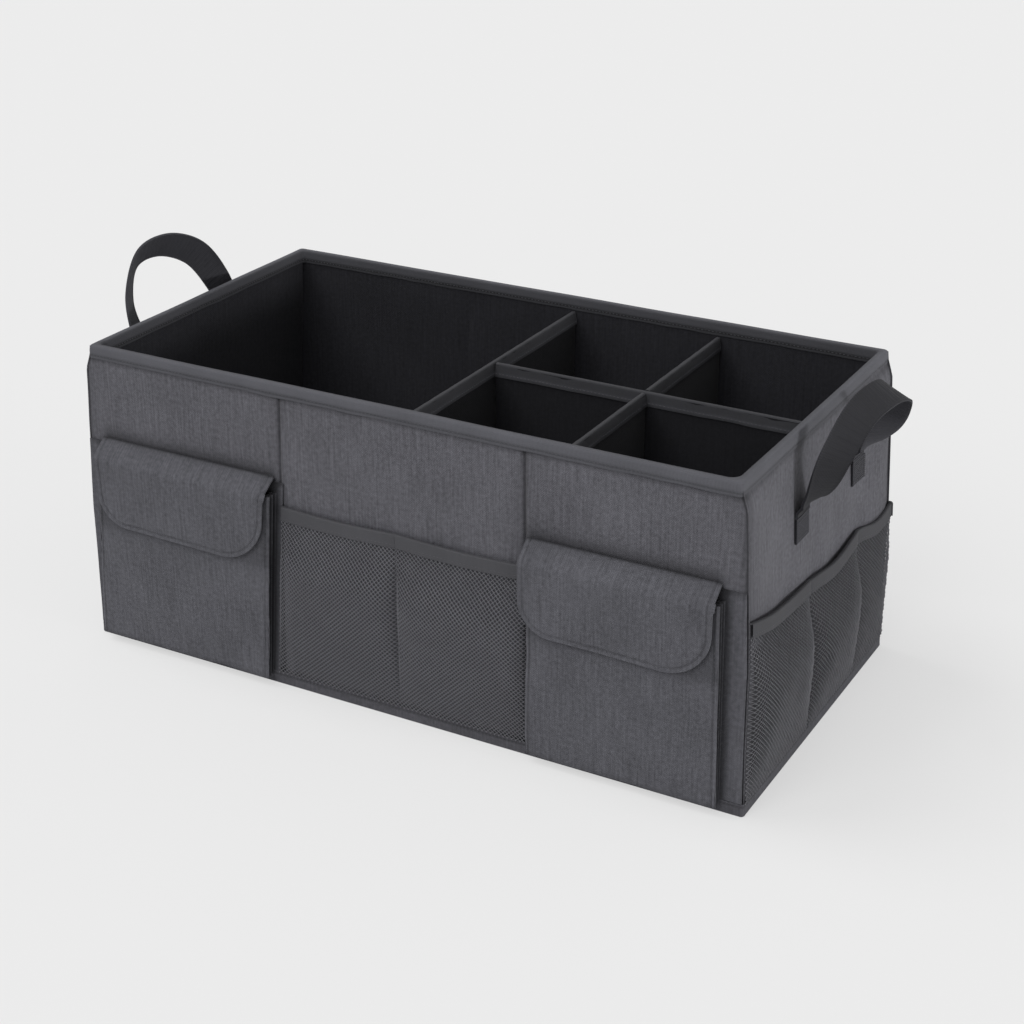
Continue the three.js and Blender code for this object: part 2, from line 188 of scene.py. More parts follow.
# %% From a grid of points to a mesh


def normals_of(grid, loop):
    along = (np.roll(grid, -1, 0) - np.roll(grid, 1, 0)) if loop else np.gradient(grid, axis=0)
    normal = np.cross(along, np.gradient(grid, axis=1))
    return normal / np.maximum(np.linalg.norm(normal, axis=2, keepdims=True), 1e-9)


def lengths_of(grid):
    """UV in metres from the lengths of the grid's own lines"""
    rows = np.linalg.norm(np.diff(grid, axis=0), axis=2).mean(1)
    columns = np.linalg.norm(np.diff(grid, axis=1), axis=2)
    u = np.concatenate([[0], np.cumsum(rows)])
    v = np.concatenate([np.zeros((len(grid), 1)), np.cumsum(columns, 1)], 1)
    return np.stack([np.repeat(u[:, None], grid.shape[1], 1), v], -1)


def new_object(name, vertices, faces, uv=None, edges=()):
    mesh = bpy.data.meshes.new(name)
    mesh.from_pydata(vertices, edges, faces)
    if uv is not None:
        layer = mesh.uv_layers.new(name="cloth")
        corner = np.empty(len(mesh.loops), dtype=np.int64)
        mesh.loops.foreach_get("vertex_index", corner)
        layer.data.foreach_set("uv", uv[corner].astype(np.float32).ravel())
    mesh.polygons.foreach_set("use_smooth", [True] * len(mesh.polygons))
    if len(mesh.polygons):
        mesh.set_sharp_from_angle(angle=math.radians(50))
    piece = bpy.data.objects.new(name, mesh)
    bpy.context.scene.collection.objects.link(piece)
    return piece


# %% [markdown]
# One builder makes every cloth piece. It adds the inner face a thickness behind the
# outer one and closes the edges, so that each piece is a shell that could be printed. A
# Solidify modifier does nearly the same, but here each face can carry its own painted shade.

# %% The cloth builder


def cloth(name, grid, thick, facing, uv=None, loop=False, at=None, shade=None,
          inner_shade=None):
    """A closed sheet whose outer face is the grid. facing is where it looks at one point,
    and shade says how much darker its colour is painted: painted shade beside seams, in
    folds and recesses and under flaps, and a plain darker tone on the divider boards and
    tapes. inner_shade does the same for the inner face."""
    grid = np.asarray(grid, float)
    rows, columns = grid.shape[:2]
    normal = normals_of(grid, loop)
    i, j = at or (rows // 2, columns // 2)
    sign = 1 if normal[i, j] @ np.asarray(facing) > 0 else -1
    inner = grid - sign * normal * thick
    uv = lengths_of(grid) if uv is None else uv
    index = np.arange(rows * columns).reshape(rows, columns)
    here = index if loop else index[:-1]
    there = np.roll(index, -1, 0) if loop else index[1:]
    outer_faces = np.stack([here[:, :-1], there[:, :-1], there[:, 1:], here[:, 1:]], -1)
    outer_faces = outer_faces.reshape(-1, 4)
    count = rows * columns
    faces = [outer_faces, outer_faces[:, ::-1] + count]
    rims = [(here[:, 0], there[:, 0], 1), (here[:, -1], there[:, -1], -1)]
    if not loop:
        rims += [(index[0, :-1], index[0, 1:], -1), (index[-1, :-1], index[-1, 1:], 1)]
    for a, b, way in rims:
        wall = np.stack([a, a + count, b + count, b], -1)
        faces.append(wall if way > 0 else wall[:, ::-1])
    faces = np.concatenate(faces)
    if sign < 0:
        faces = faces[:, ::-1]
    vertices = np.concatenate([grid.reshape(-1, 3), inner.reshape(-1, 3)])
    flat = np.asarray(uv).reshape(-1, 2)
    piece = new_object(name, vertices, faces, np.concatenate([flat, flat]))
    if shade is not None:
        layer = piece.data.attributes.new("shade", "FLOAT", "POINT")
        faces_shade = [shade, shade if inner_shade is None else inner_shade]
        values = [np.broadcast_to(face, (rows, columns)).ravel() for face in faces_shade]
        layer.data.foreach_set("value", np.clip(np.concatenate(values), 0, 1).astype(np.float32))
    return piece


# %% [markdown]
# Each finished piece is then told three things: the body that it moves with, the finish
# that it takes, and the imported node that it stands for. That node is hidden by it.

# %% Bodies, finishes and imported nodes
made = []


def place(piece, body, slot, *nodes):
    """The piece moves with its body, takes a record slot and stands for CAD nodes"""
    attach(piece, body)
    if nodes:
        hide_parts(*nodes)
    made.append((piece, slot))
    return piece


def sewn(node, body, slot, grid, thick, facing, uv=None, **options):
    """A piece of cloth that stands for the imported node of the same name"""
    return place(cloth(node + "_sewn", grid, thick, facing, uv, **options), body, slot, node)


# %% [markdown]
# Each front pocket has a backing sewn flat to the wall, a gusset with two pleats like a
# bellows, and a face. The face leans out a little towards its mouth, as the imported model
# has it. A flap hangs over the mouth. The walls need these outlines too, because shade is
# painted on the front wall just above each flap's seam, so the outlines come first.

# %% Shape of the front pockets
POCKETS = {
    "left": {"side": -1, "gap": (9.5, 13), "width": (172, 172), "flap": ((0, 2), (2, 10))},
    "right": {"side": 1, "gap": (19, 13), "width": (159, 153), "flap": ((-5.5, -5.5), (3, 4))},
}
POCKET_LOW, POCKET_MOUTH, BACKING_TOP = 7 * MM, 174 * MM, 183 * MM
POCKET_DEPTH = (10 * MM, 12.5 * MM)
PLEAT, PLEATS = 5 * MM, 2
BACKING_SHOWS = 5.5 * MM
HINGE_HEIGHT, FLAP_LOW = 187 * MM, 116 * MM


def rise(z):
    return (z - POCKET_LOW) / (POCKET_MOUTH - POCKET_LOW)


def pocket_depth(z):
    return mix(*POCKET_DEPTH, rise(z))


def pocket_edges(pocket):
    """Left and right upright edge of a pocket, as functions of the height"""
    gap, width = ([v * MM for v in pocket[key]] for key in ("gap", "width"))
    outer = lambda z: end_at(z, 0) - mix(*gap, rise(z))
    inner = lambda z: outer(z) - mix(*width, rise(z))
    if pocket["side"] < 0:
        return lambda z: -outer(z), lambda z: -inner(z)
    return inner, outer


def flap_edges(pocket):
    """Left and right edge of a flap, as functions of the height. Each is some way inside
    the pocket's own edge, at the seam and at the lower edge."""
    left, right_edge = (float(edge(POCKET_MOUTH)) for edge in pocket_edges(pocket))
    inset = [lambda z, pair=pair: MM * mix(*pair[::-1], (z - FLAP_LOW) / (HINGE_HEIGHT - FLAP_LOW))
             for pair in pocket["flap"]]
    return lambda z: left + inset[0](z), lambda z: right_edge - inset[1](z)


FLAP_SEAMS = [[edge(HINGE_HEIGHT) for edge in flap_edges(pocket)] for pocket in POCKETS.values()]
print("flap seams", [[round(x, 4) for x in seam] for seam in FLAP_SEAMS])

# %% [markdown]
# The two long walls run over three boards, and where the boards stop short of each other
# the empty box folds. The cloth sinks there into a narrow valley with soft shoulders. The
# grid of points follows the fold lines, and is finest near them, where the cloth bends
# most. An even grid would need many more faces for the same valley.

# %% Grid and folds of the long walls


def between(edges, z, steps):
    """Stations between leaning lines, closer together near each line"""
    columns = []
    for k, (a, b) in enumerate(zip(edges, edges[1:])):
        for i in range(0 if k == 0 else 1, steps[k] + 1):
            share = (1 - math.cos(math.pi * i / steps[k])) / 2
            columns.append(mix(a(z), b(z), share))
    return np.array(columns)


def long_wall_face(inset, z, steps):
    reach = lambda z: end_at(z, inset) + (corner_bow(z) if inset < FACE_INSET else 0)
    edges = [lambda z: -reach(z), lambda z: fold_at(FOLDS[0], z),
             lambda z: fold_at(FOLDS[1], z), reach]
    return between(edges, z, steps)


def from_fold(x, z):
    return np.minimum(np.abs(x - fold_at(FOLDS[0], z)), np.abs(x - fold_at(FOLDS[1], z)))


def fold_relief(x, z):
    """How far the cloth sinks at the fold lines"""
    away = from_fold(x, z)
    return -1.3 * MM * groove(away, 1.2 * MM) - 1.0 * MM * groove(away, 8 * MM)


print("panels at the rim", [round(b - a, 4) for a, b in zip(
    [-end_at(HEIGHT, 0)] + [fold[1] for fold in FOLDS],
    [fold[1] for fold in FOLDS] + [end_at(HEIGHT, 0)])])

# %% [markdown]
# Seams show in two ways: the thread pulls the cloth into a groove, and shade falls in and
# beside it. So each wall has a relief and a painted shade: shade is painted into the colour
# beside seams, in the fold valleys, at the corners, above the flaps and behind the nets. It
# is stored on the mesh as an attribute, and the material mixes it in. A picture of a seam
# could paint the same, but only at one size and in one light.

# %% Relief and painted shade beside seams
CORNER_GROOVE, CORNER_INSET = 1.4 * MM, 0.4 * MM
NET_SPANS = {"front": ((-100 * MM, 122 * MM), 152 * MM), "end": ((-140 * MM, 146 * MM), 132 * MM)}


def over_board(relief, gap_away=1.0):
    """Relief held off the board behind the cloth, except where there is a gap in it"""
    return np.maximum(relief, -1.1 * MM - 1.6 * MM * groove(gap_away, 1.5 * MM))


def wall_relief(along, z, corner, seed):
    """Waves, puckers at the rim and the hem, and a groove with a soft bend at the corner"""
    relief = 0.28 * MM * waves(along, z, 0.06, seed)
    relief += 0.30 * MM * puckers(along, RIM_LOW - z, 0.012, 0.014, seed + 10)
    relief += 0.25 * MM * puckers(along, z - HEM, 0.012, 0.010, seed + 20)
    relief -= 0.6 * MM * groove(corner - CORNER_GROOVE, 0.7 * MM)
    return relief - 0.5 * MM * groove(corner, 8 * MM)


def wall_shade(z, corner):
    """Painted shade: the colour is darker beside the seams at the rim and the hem and at
    the corners, where shade falls
    """
    return (0.45 * groove(RIM_LOW - z, 2.5 * MM) + 0.5 * groove(z - HEM, 2.5 * MM)
            + 0.6 * groove(corner - CORNER_GROOVE, 0.8 * MM) + 0.2 * groove(corner, 7 * MM))


def above_flaps(x, z):
    """One just above a flap's seam and zero away from it: where the wall is dented and a
    shadow is painted
    """
    total = 0
    for x0, x1 in FLAP_SEAMS:
        beside = smooth(x0 - 4 * MM, x0 + 4 * MM, x) * smooth(x1 + 4 * MM, x1 - 4 * MM, x)
        total = total + beside * groove(np.maximum(z - HINGE_HEIGHT, 0), 8 * MM)
    return total


def behind_net(along, z, span):
    """One where a net hangs in front of the wall: where the wall behind it is painted darker
    as shade
    """
    (low, high), top = span
    return smooth(low, low + 2 * MM, along) * smooth(high, high - 2 * MM, along) * (z < top)


# %% [markdown]
# The outer cloth of the two long walls. Both are made by one loop. The front one also
# carries the flaps and a net, so it gets a finer grid and more painted shade, above the
# flaps and behind the net.

# %% Outer cloth of the long walls
WALL_GRID = {"front": (74, (56, 70, 56)), "back": (40, (28, 36, 28))}
for name, side, seed in (("front", -1, 1), ("back", 1, 2)):
    rows, steps = WALL_GRID[name]
    wall_z = np.linspace(WALL_LOW, WALL_TOP, rows)
    x = long_wall_face(CORNER_INSET, wall_z, steps)
    z = np.broadcast_to(wall_z, x.shape)
    corner = end_at(z, CORNER_INSET) + corner_bow(z) - np.abs(x)
    relief = fold_relief(x, z) + wall_relief(x, z, corner, seed)
    # Painted shade beside the seams and in the fold valleys.
    shade = wall_shade(z, corner) + 0.45 * groove(from_fold(x, z), 1.4 * MM)
    shade = shade + 0.14 * groove(from_fold(x, z), 7 * MM)
    if side < 0:
        relief -= 0.8 * MM * above_flaps(x, z)
        # Painted shadow above each flap's seam, and painted shade on the wall behind the net.
        shade = shade + 0.6 * above_flaps(x, z) + 0.35 * behind_net(x, z, NET_SPANS["front"])
    relief = over_board(relief, from_fold(x, z))
    sheet = sewn(name + "_cloth", "organizer", "outer_cloth", front_place(x, z, relief, side),
                 CLOTH, (0, side, 0), np.stack([x, z], -1), shade=shade)
    print(sheet.name, len(sheet.data.polygons))

# %% [markdown]
# The end walls are one board each, so their cloth has no fold. It pulls a little where
# the handles are sewn on, because a handle carries the whole load.

# %% Outer cloth of the end walls
SEWN_LOW, SEWN_TALL, LEG_SPAN, WEB_WIDE, WEB_THICK = (v * MM for v in (178, 20, 120, 25, 1.8))
HANDLE_MIDDLE = {"left": 2 * MM, "right": 22 * MM}

for name, side, seed in (("left", -1, 3), ("right", 1, 4)):
    half = side_at(FACE_INSET + CLOTH + GAP)
    rows, columns = (74, 96) if name == "right" else (40, 44)
    y = np.linspace(-half, half, columns)[:, None] + np.zeros(rows)
    z = np.broadcast_to(np.linspace(WALL_LOW, WALL_TOP, rows), y.shape)
    corner = half - np.abs(y)
    relief = wall_relief(y, z, corner, seed)
    # Painted shade beside the seams and towards the corners.
    shade = wall_shade(z, corner) + 0.15 * groove(corner, 10 * MM)
    if name == "right":
        back_fullness = smooth(0.060, 0.120, y) * smooth(0.149, 0.135, y)
        relief += 1.6 * MM * back_fullness * corner_bow(z) / CORNER_BOW
        # Painted shade on the wall behind the end net.
        shade = shade + 0.75 * behind_net(y, z, NET_SPANS["end"])
    for toward in (-1, 1):
        leg = HANDLE_MIDDLE[name] + toward * LEG_SPAN / 2
        near = ((y - leg) / 0.030) ** 2 + ((z - SEWN_LOW - SEWN_TALL) / 0.045) ** 2
        relief -= 0.8 * MM * np.exp(-near)
    sheet = sewn(name + "_end_cloth", "organizer", "outer_cloth",
                 end_place(y, z, over_board(relief), side), CLOTH, (side, 0, 0),
                 np.stack([y, z], -1), shade=shade)
    print(sheet.name, len(sheet.data.polygons))

# %% [markdown]
# The lining is a thin dark fleece, tacked at the rim and loose below, so it waves more
# than the outer cloth. At the fold lines it shows a faint upright crease. The floor
# lining lies on a loose board. The wall sheets end under the rim tape, which hides their
# edges.

# %% Linings
room_z = np.linspace(FLOOR + GAP, HEIGHT - 6 * MM, 36)


def below_rim(z):
    return smooth(RIM_LOW + 1 * MM, RIM_LOW - 12 * MM, z)


def lining(name, x, y, z, facing, uv):
    sewn(name, "organizer", "lining_cloth", np.stack([x, y, z], -1), LINING, facing,
         np.stack(uv, -1))


for name, side, seed in (("front", -1, 5), ("back", 1, 6)):
    x = long_wall_face(LINING_INSET, room_z, (22, 30, 22))
    z = np.broadcast_to(room_z, x.shape)
    relief = (0.45 * MM * waves(x, z, 0.09, seed) + 0.6 * fold_relief(x, z)) * below_rim(z)
    y = side * (side_at(ROOM_INSET) - np.maximum(relief, -0.7 * MM))
    lining(name + "_lining", x, y, z, (0, -side, 0), (x, z))

for name, side, seed in (("left", -1, 7), ("right", 1, 8)):
    half = side_at(ROOM_INSET + GAP)
    y = np.broadcast_to(np.linspace(-half, half, 40)[:, None], (40, len(room_z)))
    z = np.broadcast_to(room_z, y.shape)
    x = side * (end_at(z, ROOM_INSET) - 0.4 * MM * waves(y, z, 0.09, seed) * below_rim(z))
    lining(name + "_end_lining", x, y, z, (-side, 0, 0), (y, z))

half_x, half_y = end_at(FLOOR, LINING_INSET + GAP), side_at(LINING_INSET)
x, y = np.meshgrid(np.linspace(-half_x, half_x, 80), np.linspace(-half_y, half_y, 40),
                   indexing="ij")
lining("base_lining", x, y, FLOOR + 0.25 * MM * waves(x, y, 0.12, 9), (0, 0, 1), (x, y))
print("linings", sum("lining" in piece.name for piece, _ in made))

# %% [markdown]
# The hem and the rim go round the whole box, so both are a section carried round an
# outline. The outline is a rectangle with rounded corners. Its stations are the same for
# every inset, so that the outer and the inner line of the rim tape run side by side.

# %% The outline of the box
CORNER_STEPS = 7


def outline(inset, z, radii, steps=(110, 56)):
    """Stations round the box at one height, from the front left corner on. radii is one
    radius, or one for each corner."""
    radii = radii if isinstance(radii, tuple) else (radii,) * 4
    x, y = end_at(z, inset), side_at(inset)
    points = []
    for k, (cx, cy) in enumerate([(-1, -1), (1, -1), (1, 1), (-1, 1)]):
        start = math.pi + k * math.pi / 2
        radius, next_radius = radii[k], radii[(k + 1) % 4]
        centre = np.array([cx * (x - radius), cy * (y - radius)])
        for i in range(CORNER_STEPS + 1):
            angle = start + math.pi / 2 * i / CORNER_STEPS
            points.append(centre + radius * np.array([math.cos(angle), math.sin(angle)]))
        nx, ny = [(1, -1), (1, 1), (-1, 1), (-1, -1)][k]
        following = np.array([nx * (x - next_radius), ny * (y - next_radius)])
        angle = start + math.pi / 2
        first = centre + radius * np.array([math.cos(angle), math.sin(angle)])
        last = following + next_radius * np.array([math.cos(angle), math.sin(angle)])
        count = steps[k % 2]
        points += [mix(first, last, i / count) for i in range(1, count)]
    points = np.array(points)
    return np.concatenate([points, np.full((len(points), 1), z)], 1)


def round_length(points):
    """Distance run round a closed line, for waves that follow it"""
    return np.concatenate([[0], np.cumsum(np.linalg.norm(np.diff(points, axis=0), axis=1))])


print("round the rim %.3f m" % round_length(outline(0, HEIGHT, 3 * MM))[-1])

# %% [markdown]
# The rim binding is a tape folded over the walls. Its section goes up the outside, over
# a round top and down the inside, and it sinks a little where the stitches pull it in.
# The lower edge of a sewn tape is never quite straight.

# %% Rim binding


def tape_section(width, tall, top_round):
    """A folded tape's outer line as (share of the width, height below the top)"""
    straight = np.linspace(tall, top_round, 8)
    rise = [(0.0, drop) for drop in straight]
    arc = [(top_round / width * (1 - math.cos(a)), top_round * (1 - math.sin(a)))
           for a in np.linspace(0, math.pi / 2, 6)[1:]]
    left = rise + arc
    return left + [(1 - share, drop) for share, drop in reversed(left)]


TOP_ROUND = 1.8 * MM
STITCH_UP = 2.8 * MM
RIM_TOP = 6.9 * MM
OUTER_ROUND, INNER_ROUND = (3 * MM,) * 4, (3 * MM, 10 * MM, 3 * MM, 3 * MM)


def pinch(drop, width):
    """How far the inside of a folded tape leans out towards its top"""
    return (width - RIM_TOP) * smooth(10 * MM, 0, drop)


rim, rim_shade = [], []
for share, drop in tape_section(RIM_WIDTH, HEIGHT - RIM_LOW, TOP_ROUND):
    z = HEIGHT - drop
    outer, inner = outline(0, z, OUTER_ROUND), outline(RIM_WIDTH, z, INNER_ROUND)
    run = round_length(outline(0, HEIGHT, OUTER_ROUND))
    toward = (inner - outer) / np.linalg.norm(inner - outer, axis=1, keepdims=True)
    width = np.linalg.norm(inner - outer, axis=1, keepdims=True)
    top_share = share * (1 - pinch(drop, RIM_WIDTH) / RIM_WIDTH)
    line = outer + toward * width * top_share
    if share < 0.5:
        line = line + toward * (0.5 * MM * smooth(5 * MM, 0, drop))
    from_edge = HEIGHT - RIM_LOW - drop
    if share in (0, 1):
        sink = 0.5 * MM * groove(from_edge - STITCH_UP, 0.9 * MM)
        sink = sink + 0.5 * MM * groove(from_edge, 2.2 * MM)
        sink = sink + 0.10 * MM * waves(run, drop, 0.02, 30) * smooth(3 * MM, 9 * MM, drop)
        line = line + toward * (sink if share == 0 else -sink)[:, None]
    line[:, 2] += 0.25 * MM * waves(run, 0, 0.05, 31) * smooth(6 * MM, 11 * MM, drop)
    line[:, 2] += 0.12 * MM * (waves(run, 0, 0.16, 32) - 1) * smooth(4 * MM, 0, drop)
    rim.append(line)
    # Painted shade: the rim tape is darker at its stitch row and lower edge, and its inner half is
    # painted darker, as shade falls inside the box.
    dark = 0.5 * groove(from_edge - STITCH_UP, 1.0 * MM) + 0.3 * groove(from_edge, 1.2 * MM)
    rim_shade.append(np.full(len(line), dark + 0.5 * smooth(0.6, 0.95, share)))
sewn("rim_binding", "organizer", "binding_tape", np.stack(rim, 1), TAPE, (0, 0, 1), loop=True,
     shade=np.stack(rim_shade, 1))
print("rim stations", len(rim[0]))

# %% [markdown]
# The hem is the edge of the cloth tray under the box. It turns round the lower edge with
# a small radius and goes on under the box, where a plain sheet closes the underside.

# %% Hem and underside
hem_lines = []
HEM_ROUND, HEM_STITCH = 1.2 * MM, 8.6 * MM
turns = np.linspace(0, math.pi / 2, 6)
section = [(0.0, z) for z in np.linspace(HEM, HEM_ROUND, 14)]
section += [(HEM_ROUND * (1 - math.cos(a)), HEM_ROUND * (1 - math.sin(a))) for a in turns[1:]]
section += [(inset, 0.0) for inset in (5 * MM, 12 * MM, 20 * MM)]
for inset, z in section:
    line = outline(inset, z, max(3 * MM - inset, 0.5 * MM))
    run = round_length(outline(0, 0, 3 * MM))
    middle = groove(z - HEM / 2, 3 * MM) * (1 if inset == 0 else 0)
    line[:, 2] += 0.25 * MM * waves(run, 0, 0.06, 33) * smooth(6 * MM, HEM, z)
    out = line[:, :2] / np.linalg.norm(line[:, :2], axis=1, keepdims=True)
    line[:, :2] -= out * (middle * 0.15 * MM * (1 + waves(run, 0, 0.02, 34)))[:, None]
    hem_lines.append(line)
# Painted shade along the hem's stitch row; the whole hem is also a little darker.
hem_dark = [0.4 * float(groove(z - HEM_STITCH, 0.9 * MM)) + 0.28 for _, z in section]
hem = cloth("base_hem_sewn", np.stack(hem_lines, 1), TAPE, (0, -1, 0), loop=True, at=(40, 3),
            shade=np.array(hem_dark)[None, :])
place(hem, "organizer", "outer_cloth", "base_cloth")

half_x, half_y = end_at(0, 14 * MM), side_at(14 * MM)
x, y = np.meshgrid(np.linspace(-half_x, half_x, 20), np.linspace(-half_y, half_y, 12),
                   indexing="ij")
under = cloth("base_underside_sewn", np.stack([x, y, 0 * x + 0.05 * MM], -1), 0.7 * MM,
              (0, 0, -1), np.stack([x, y], -1))
place(under, "organizer", "outer_cloth")
print(hem.name, len(hem.data.polygons))

# %% [markdown]
# The dividers are thin boards in the same lining, each with its own folded tape. The
# main one crosses the box, the long one runs from it to the right end, and two short
# ones meet the long one.

# %% Dividers and their bindings


def divider(name, seed):
    """A covered board and its tape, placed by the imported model's boxes"""
    low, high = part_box(name + "_divider")
    tape_low, tape_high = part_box(name + "_divider_binding")
    along_x = high.x - low.x > high.y - low.y
    axis, cross = (0, 1) if along_x else (1, 0)
    end_lean = SLOPE if name == "long" else 0
    zs = np.linspace(low.z, high.z, 30)
    share = np.linspace(0, 1, 50 if along_x or name == "main" else 30)[:, None]
    along = mix(low[axis], high[axis] - end_lean * (zs - low.z), share)
    z = np.broadcast_to(zs, along.shape)
    middle, thick = (low[cross] + high[cross]) / 2, high[cross] - low[cross]
    board = np.zeros(along.shape + (3,))
    board[..., axis], board[..., 2] = along, z
    bow = 0.5 * MM * waves(along, z, 0.12, seed) * smooth(0, 0.02, high.z - z)
    board[..., cross] = middle + thick / 2 + bow
    facing = [0, 0, 0]
    facing[cross] = 1
    sewn(name + "_divider", "organizer", "lining_cloth", board, thick, facing,
         np.stack([along, z], -1), shade=np.full((1, 1), 0.45))

    width, tall = tape_high[cross] - tape_low[cross], tape_high.z - tape_low.z
    line, dark = [], []
    for across, drop in tape_section(width, tall, TOP_ROUND):
        from_stitch = tall - drop - STITCH_UP
        run = np.linspace(tape_low[axis], tape_high[axis] - end_lean * (tall - drop), 64)
        side = (0.5 - across) * width * (1 - 0.35 * smooth(10 * MM, 0, drop))
        sink = 0.2 * MM * groove(from_stitch, 0.9 * MM)
        sink = sink + 0.12 * MM * waves(run, drop, 0.02, seed + 1)
        points = np.zeros((len(run), 3))
        points[:, axis] = run
        points[:, cross] = (tape_low[cross] + tape_high[cross]) / 2 + side - np.sign(side) * sink
        points[:, 2] = tape_high.z - drop
        points[:, 2] += 0.25 * MM * waves(run, 0, 0.05, seed + 2) * (drop > 6 * MM)
        line.append(points)
        dark.append(0.72 - 0.3 * groove(from_stitch, 1.2 * MM))
    sewn(name + "_divider_binding", "organizer", "binding_tape", np.stack(line, 1), TAPE,
         (0, 0, 1), shade=np.array(dark))


for seed, name in enumerate(("main", "long", "front_short", "back_short")):
    divider(name, 40 + 5 * seed)
print("dividers done")

# %% [markdown]
# The backing of a pocket runs from the box's corner to a little past the pocket, where
# its edge shows as a narrow strip. The face is stiff, but soft cloth swells between its
# seams, so it stands out most in its middle and is drawn in along its edges.

# %% Pocket backings and faces


def swell_of(u, v):
    """Soft fullness of a panel: zero at its edges, one in the middle"""
    return (1 - np.abs(2 * u - 1) ** 3) * (1 - np.abs(2 * v - 1) ** 3)


for name, pocket in POCKETS.items():
    left, right_edge = pocket_edges(pocket)
    seed = 60 if name == "left" else 65
    corner = lambda z: pocket["side"] * (end_at(z, FACE_INSET) + corner_bow(z) - GAP)
    start, end = (corner, lambda z: right_edge(z) + BACKING_SHOWS) if pocket["side"] < 0 else (
        left, corner)
    zs = np.linspace(HEM + GAP, BACKING_TOP, 36)
    x = mix(start(zs), end(zs), np.linspace(0, 1, 36)[:, None])
    z = np.broadcast_to(zs, x.shape)
    out = GAP + 0.8 * MM + 0.12 * MM * (1 + waves(x, z, 0.05, seed))
    beside = np.maximum(x - right_edge(z), left(z) - x)
    # Painted shade on the backing beside the pocket's edge, in the recess by the gusset, and along
    # the backing's top seam.
    dark = 0.85 * groove(np.maximum(beside, 0), 4 * MM) + 0.5 * groove(BACKING_TOP - z, 0.8 * MM)
    sewn(name + "_pocket_backing", "organizer", "pocket_cloth", front_place(x, z, out), 0.8 * MM,
         (0, -1, 0), np.stack([x, z], -1), shade=dark)

    zs = np.linspace(POCKET_LOW, POCKET_MOUTH, 66)
    share = (1 - np.cos(np.pi * np.linspace(0, 1, 84)))[:, None] / 2
    x = mix(left(zs), right_edge(zs), share)
    z = np.broadcast_to(zs, x.shape)
    from_side = np.minimum(x - left(z), right_edge(z) - x)
    out = pocket_depth(z) + 0.9 * MM * swell_of(share, rise(z))
    out = out + 0.3 * MM * waves(x, z, 0.07, seed + 1)
    out = out + 0.3 * MM * puckers(z, from_side, 0.012, 0.008, seed + 2)
    out = out - 0.3 * MM * groove(from_side - 3 * MM, 0.8 * MM)
    out = out - 0.8 * MM * groove(from_side, 1.2 * MM)
    out = out - 0.6 * MM * groove(z - POCKET_LOW, 2 * MM)
    # Painted shade along the stitch rows and the bottom seam, and a painted shadow on the face
    # under each flap, fading below the flap's lower edge.
    dark = 0.35 * groove(from_side - 3 * MM, 0.9 * MM) + 0.25 * groove(z - POCKET_LOW, 3 * MM)
    below_flap = 0.30 * groove(np.minimum(z - FLAP_LOW, 0), 7 * MM)
    face = sewn(name + "_pocket_face", "organizer", "pocket_cloth", front_place(x, z, out),
                1.2 * MM, (0, -1, 0), np.stack([x, z], -1), shade=below_flap + dark)
    print(face.name, len(face.data.polygons))

# %% [markdown]
# The gusset is one strip that runs down one side of the pocket, along the bottom and up
# the other side. Its section is a zigzag of soft pleats. The corners are mitred, as a
# folded strip makes them.

# %% Gussets
GUSSET_SEAT = FACE_INSET + GAP


def pleat_section(steps=28):
    """Rounded zigzag as (how far in, share of the depth)"""
    share = np.linspace(0, 1, steps)
    depth = (1 - np.cos(2 * np.pi * PLEATS * share)) / 2
    return depth ** 0.8 * PLEAT, share


for name, pocket in POCKETS.items():
    left, right_edge = pocket_edges(pocket)
    zs = np.linspace(POCKET_MOUTH, POCKET_LOW, 46)
    stations = [(left, z, 1, 0) for z in zs[:-1]] + [(left, POCKET_LOW, 1, 1)]
    bottom = np.linspace(0, 1, 44)[1:-1]
    stations += [(lambda z, s=s: mix(left(z), right_edge(z), s), POCKET_LOW, 0, 1)
                 for s in bottom]
    stations += [(right_edge, POCKET_LOW, -1, 1)] + [(right_edge, z, -1, 0) for z in zs[::-1][1:]]
    inward, share = pleat_section()
    rows = []
    for edge, z, in_x, in_z in stations:
        height = z + inward * in_z
        out = mix(GUSSET_SEAT, pocket_depth(height) - 1.5 * MM, share)
        rows.append(front_place(edge(height) + inward * in_x, height, out))
    # Painted shade: the gusset is painted dark in its recess, lighter only on its pleat ridges.
    sewn(name + "_pocket_gusset", "organizer", "pocket_cloth", np.array(rows), 0.9 * MM,
         (-1, 0, 0), at=(10, 0), shade=0.97 - 0.5 * (1 - inward / PLEAT) ** 6)
print("pockets done")

# %% [markdown]
# A flap is one sheet with round lower corners. Seen from the side it leaves its seam,
# bends over the pocket's mouth and hangs in front of the face. That line is worked out as
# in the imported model: two straight runs with an arc between them. A function gives the
# place for any distance from the seam, so the cloth keeps its length round the bend.

# %% Shape of the flaps
FLAP_THICK, FLAP_SLOPE, FLAP_BEND = 1.6 * MM, math.radians(50), 8 * MM
FLAP_CORNERS, FLAP_SKEW = (27 * MM, 38 * MM), 3 * MM
CLOSURE_ROOM = 2.9 * MM
STITCH_IN = 3.8 * MM
HINGE_OUT = GAP + FLAP_THICK / 2
LEAN = (POCKET_DEPTH[1] - POCKET_DEPTH[0]) / (POCKET_MOUTH - POCKET_LOW)
HANG_SLOPE = math.atan(LEAN)


def hang_out(z):
    return pocket_depth(z) + CLOSURE_ROOM + FLAP_THICK / 2


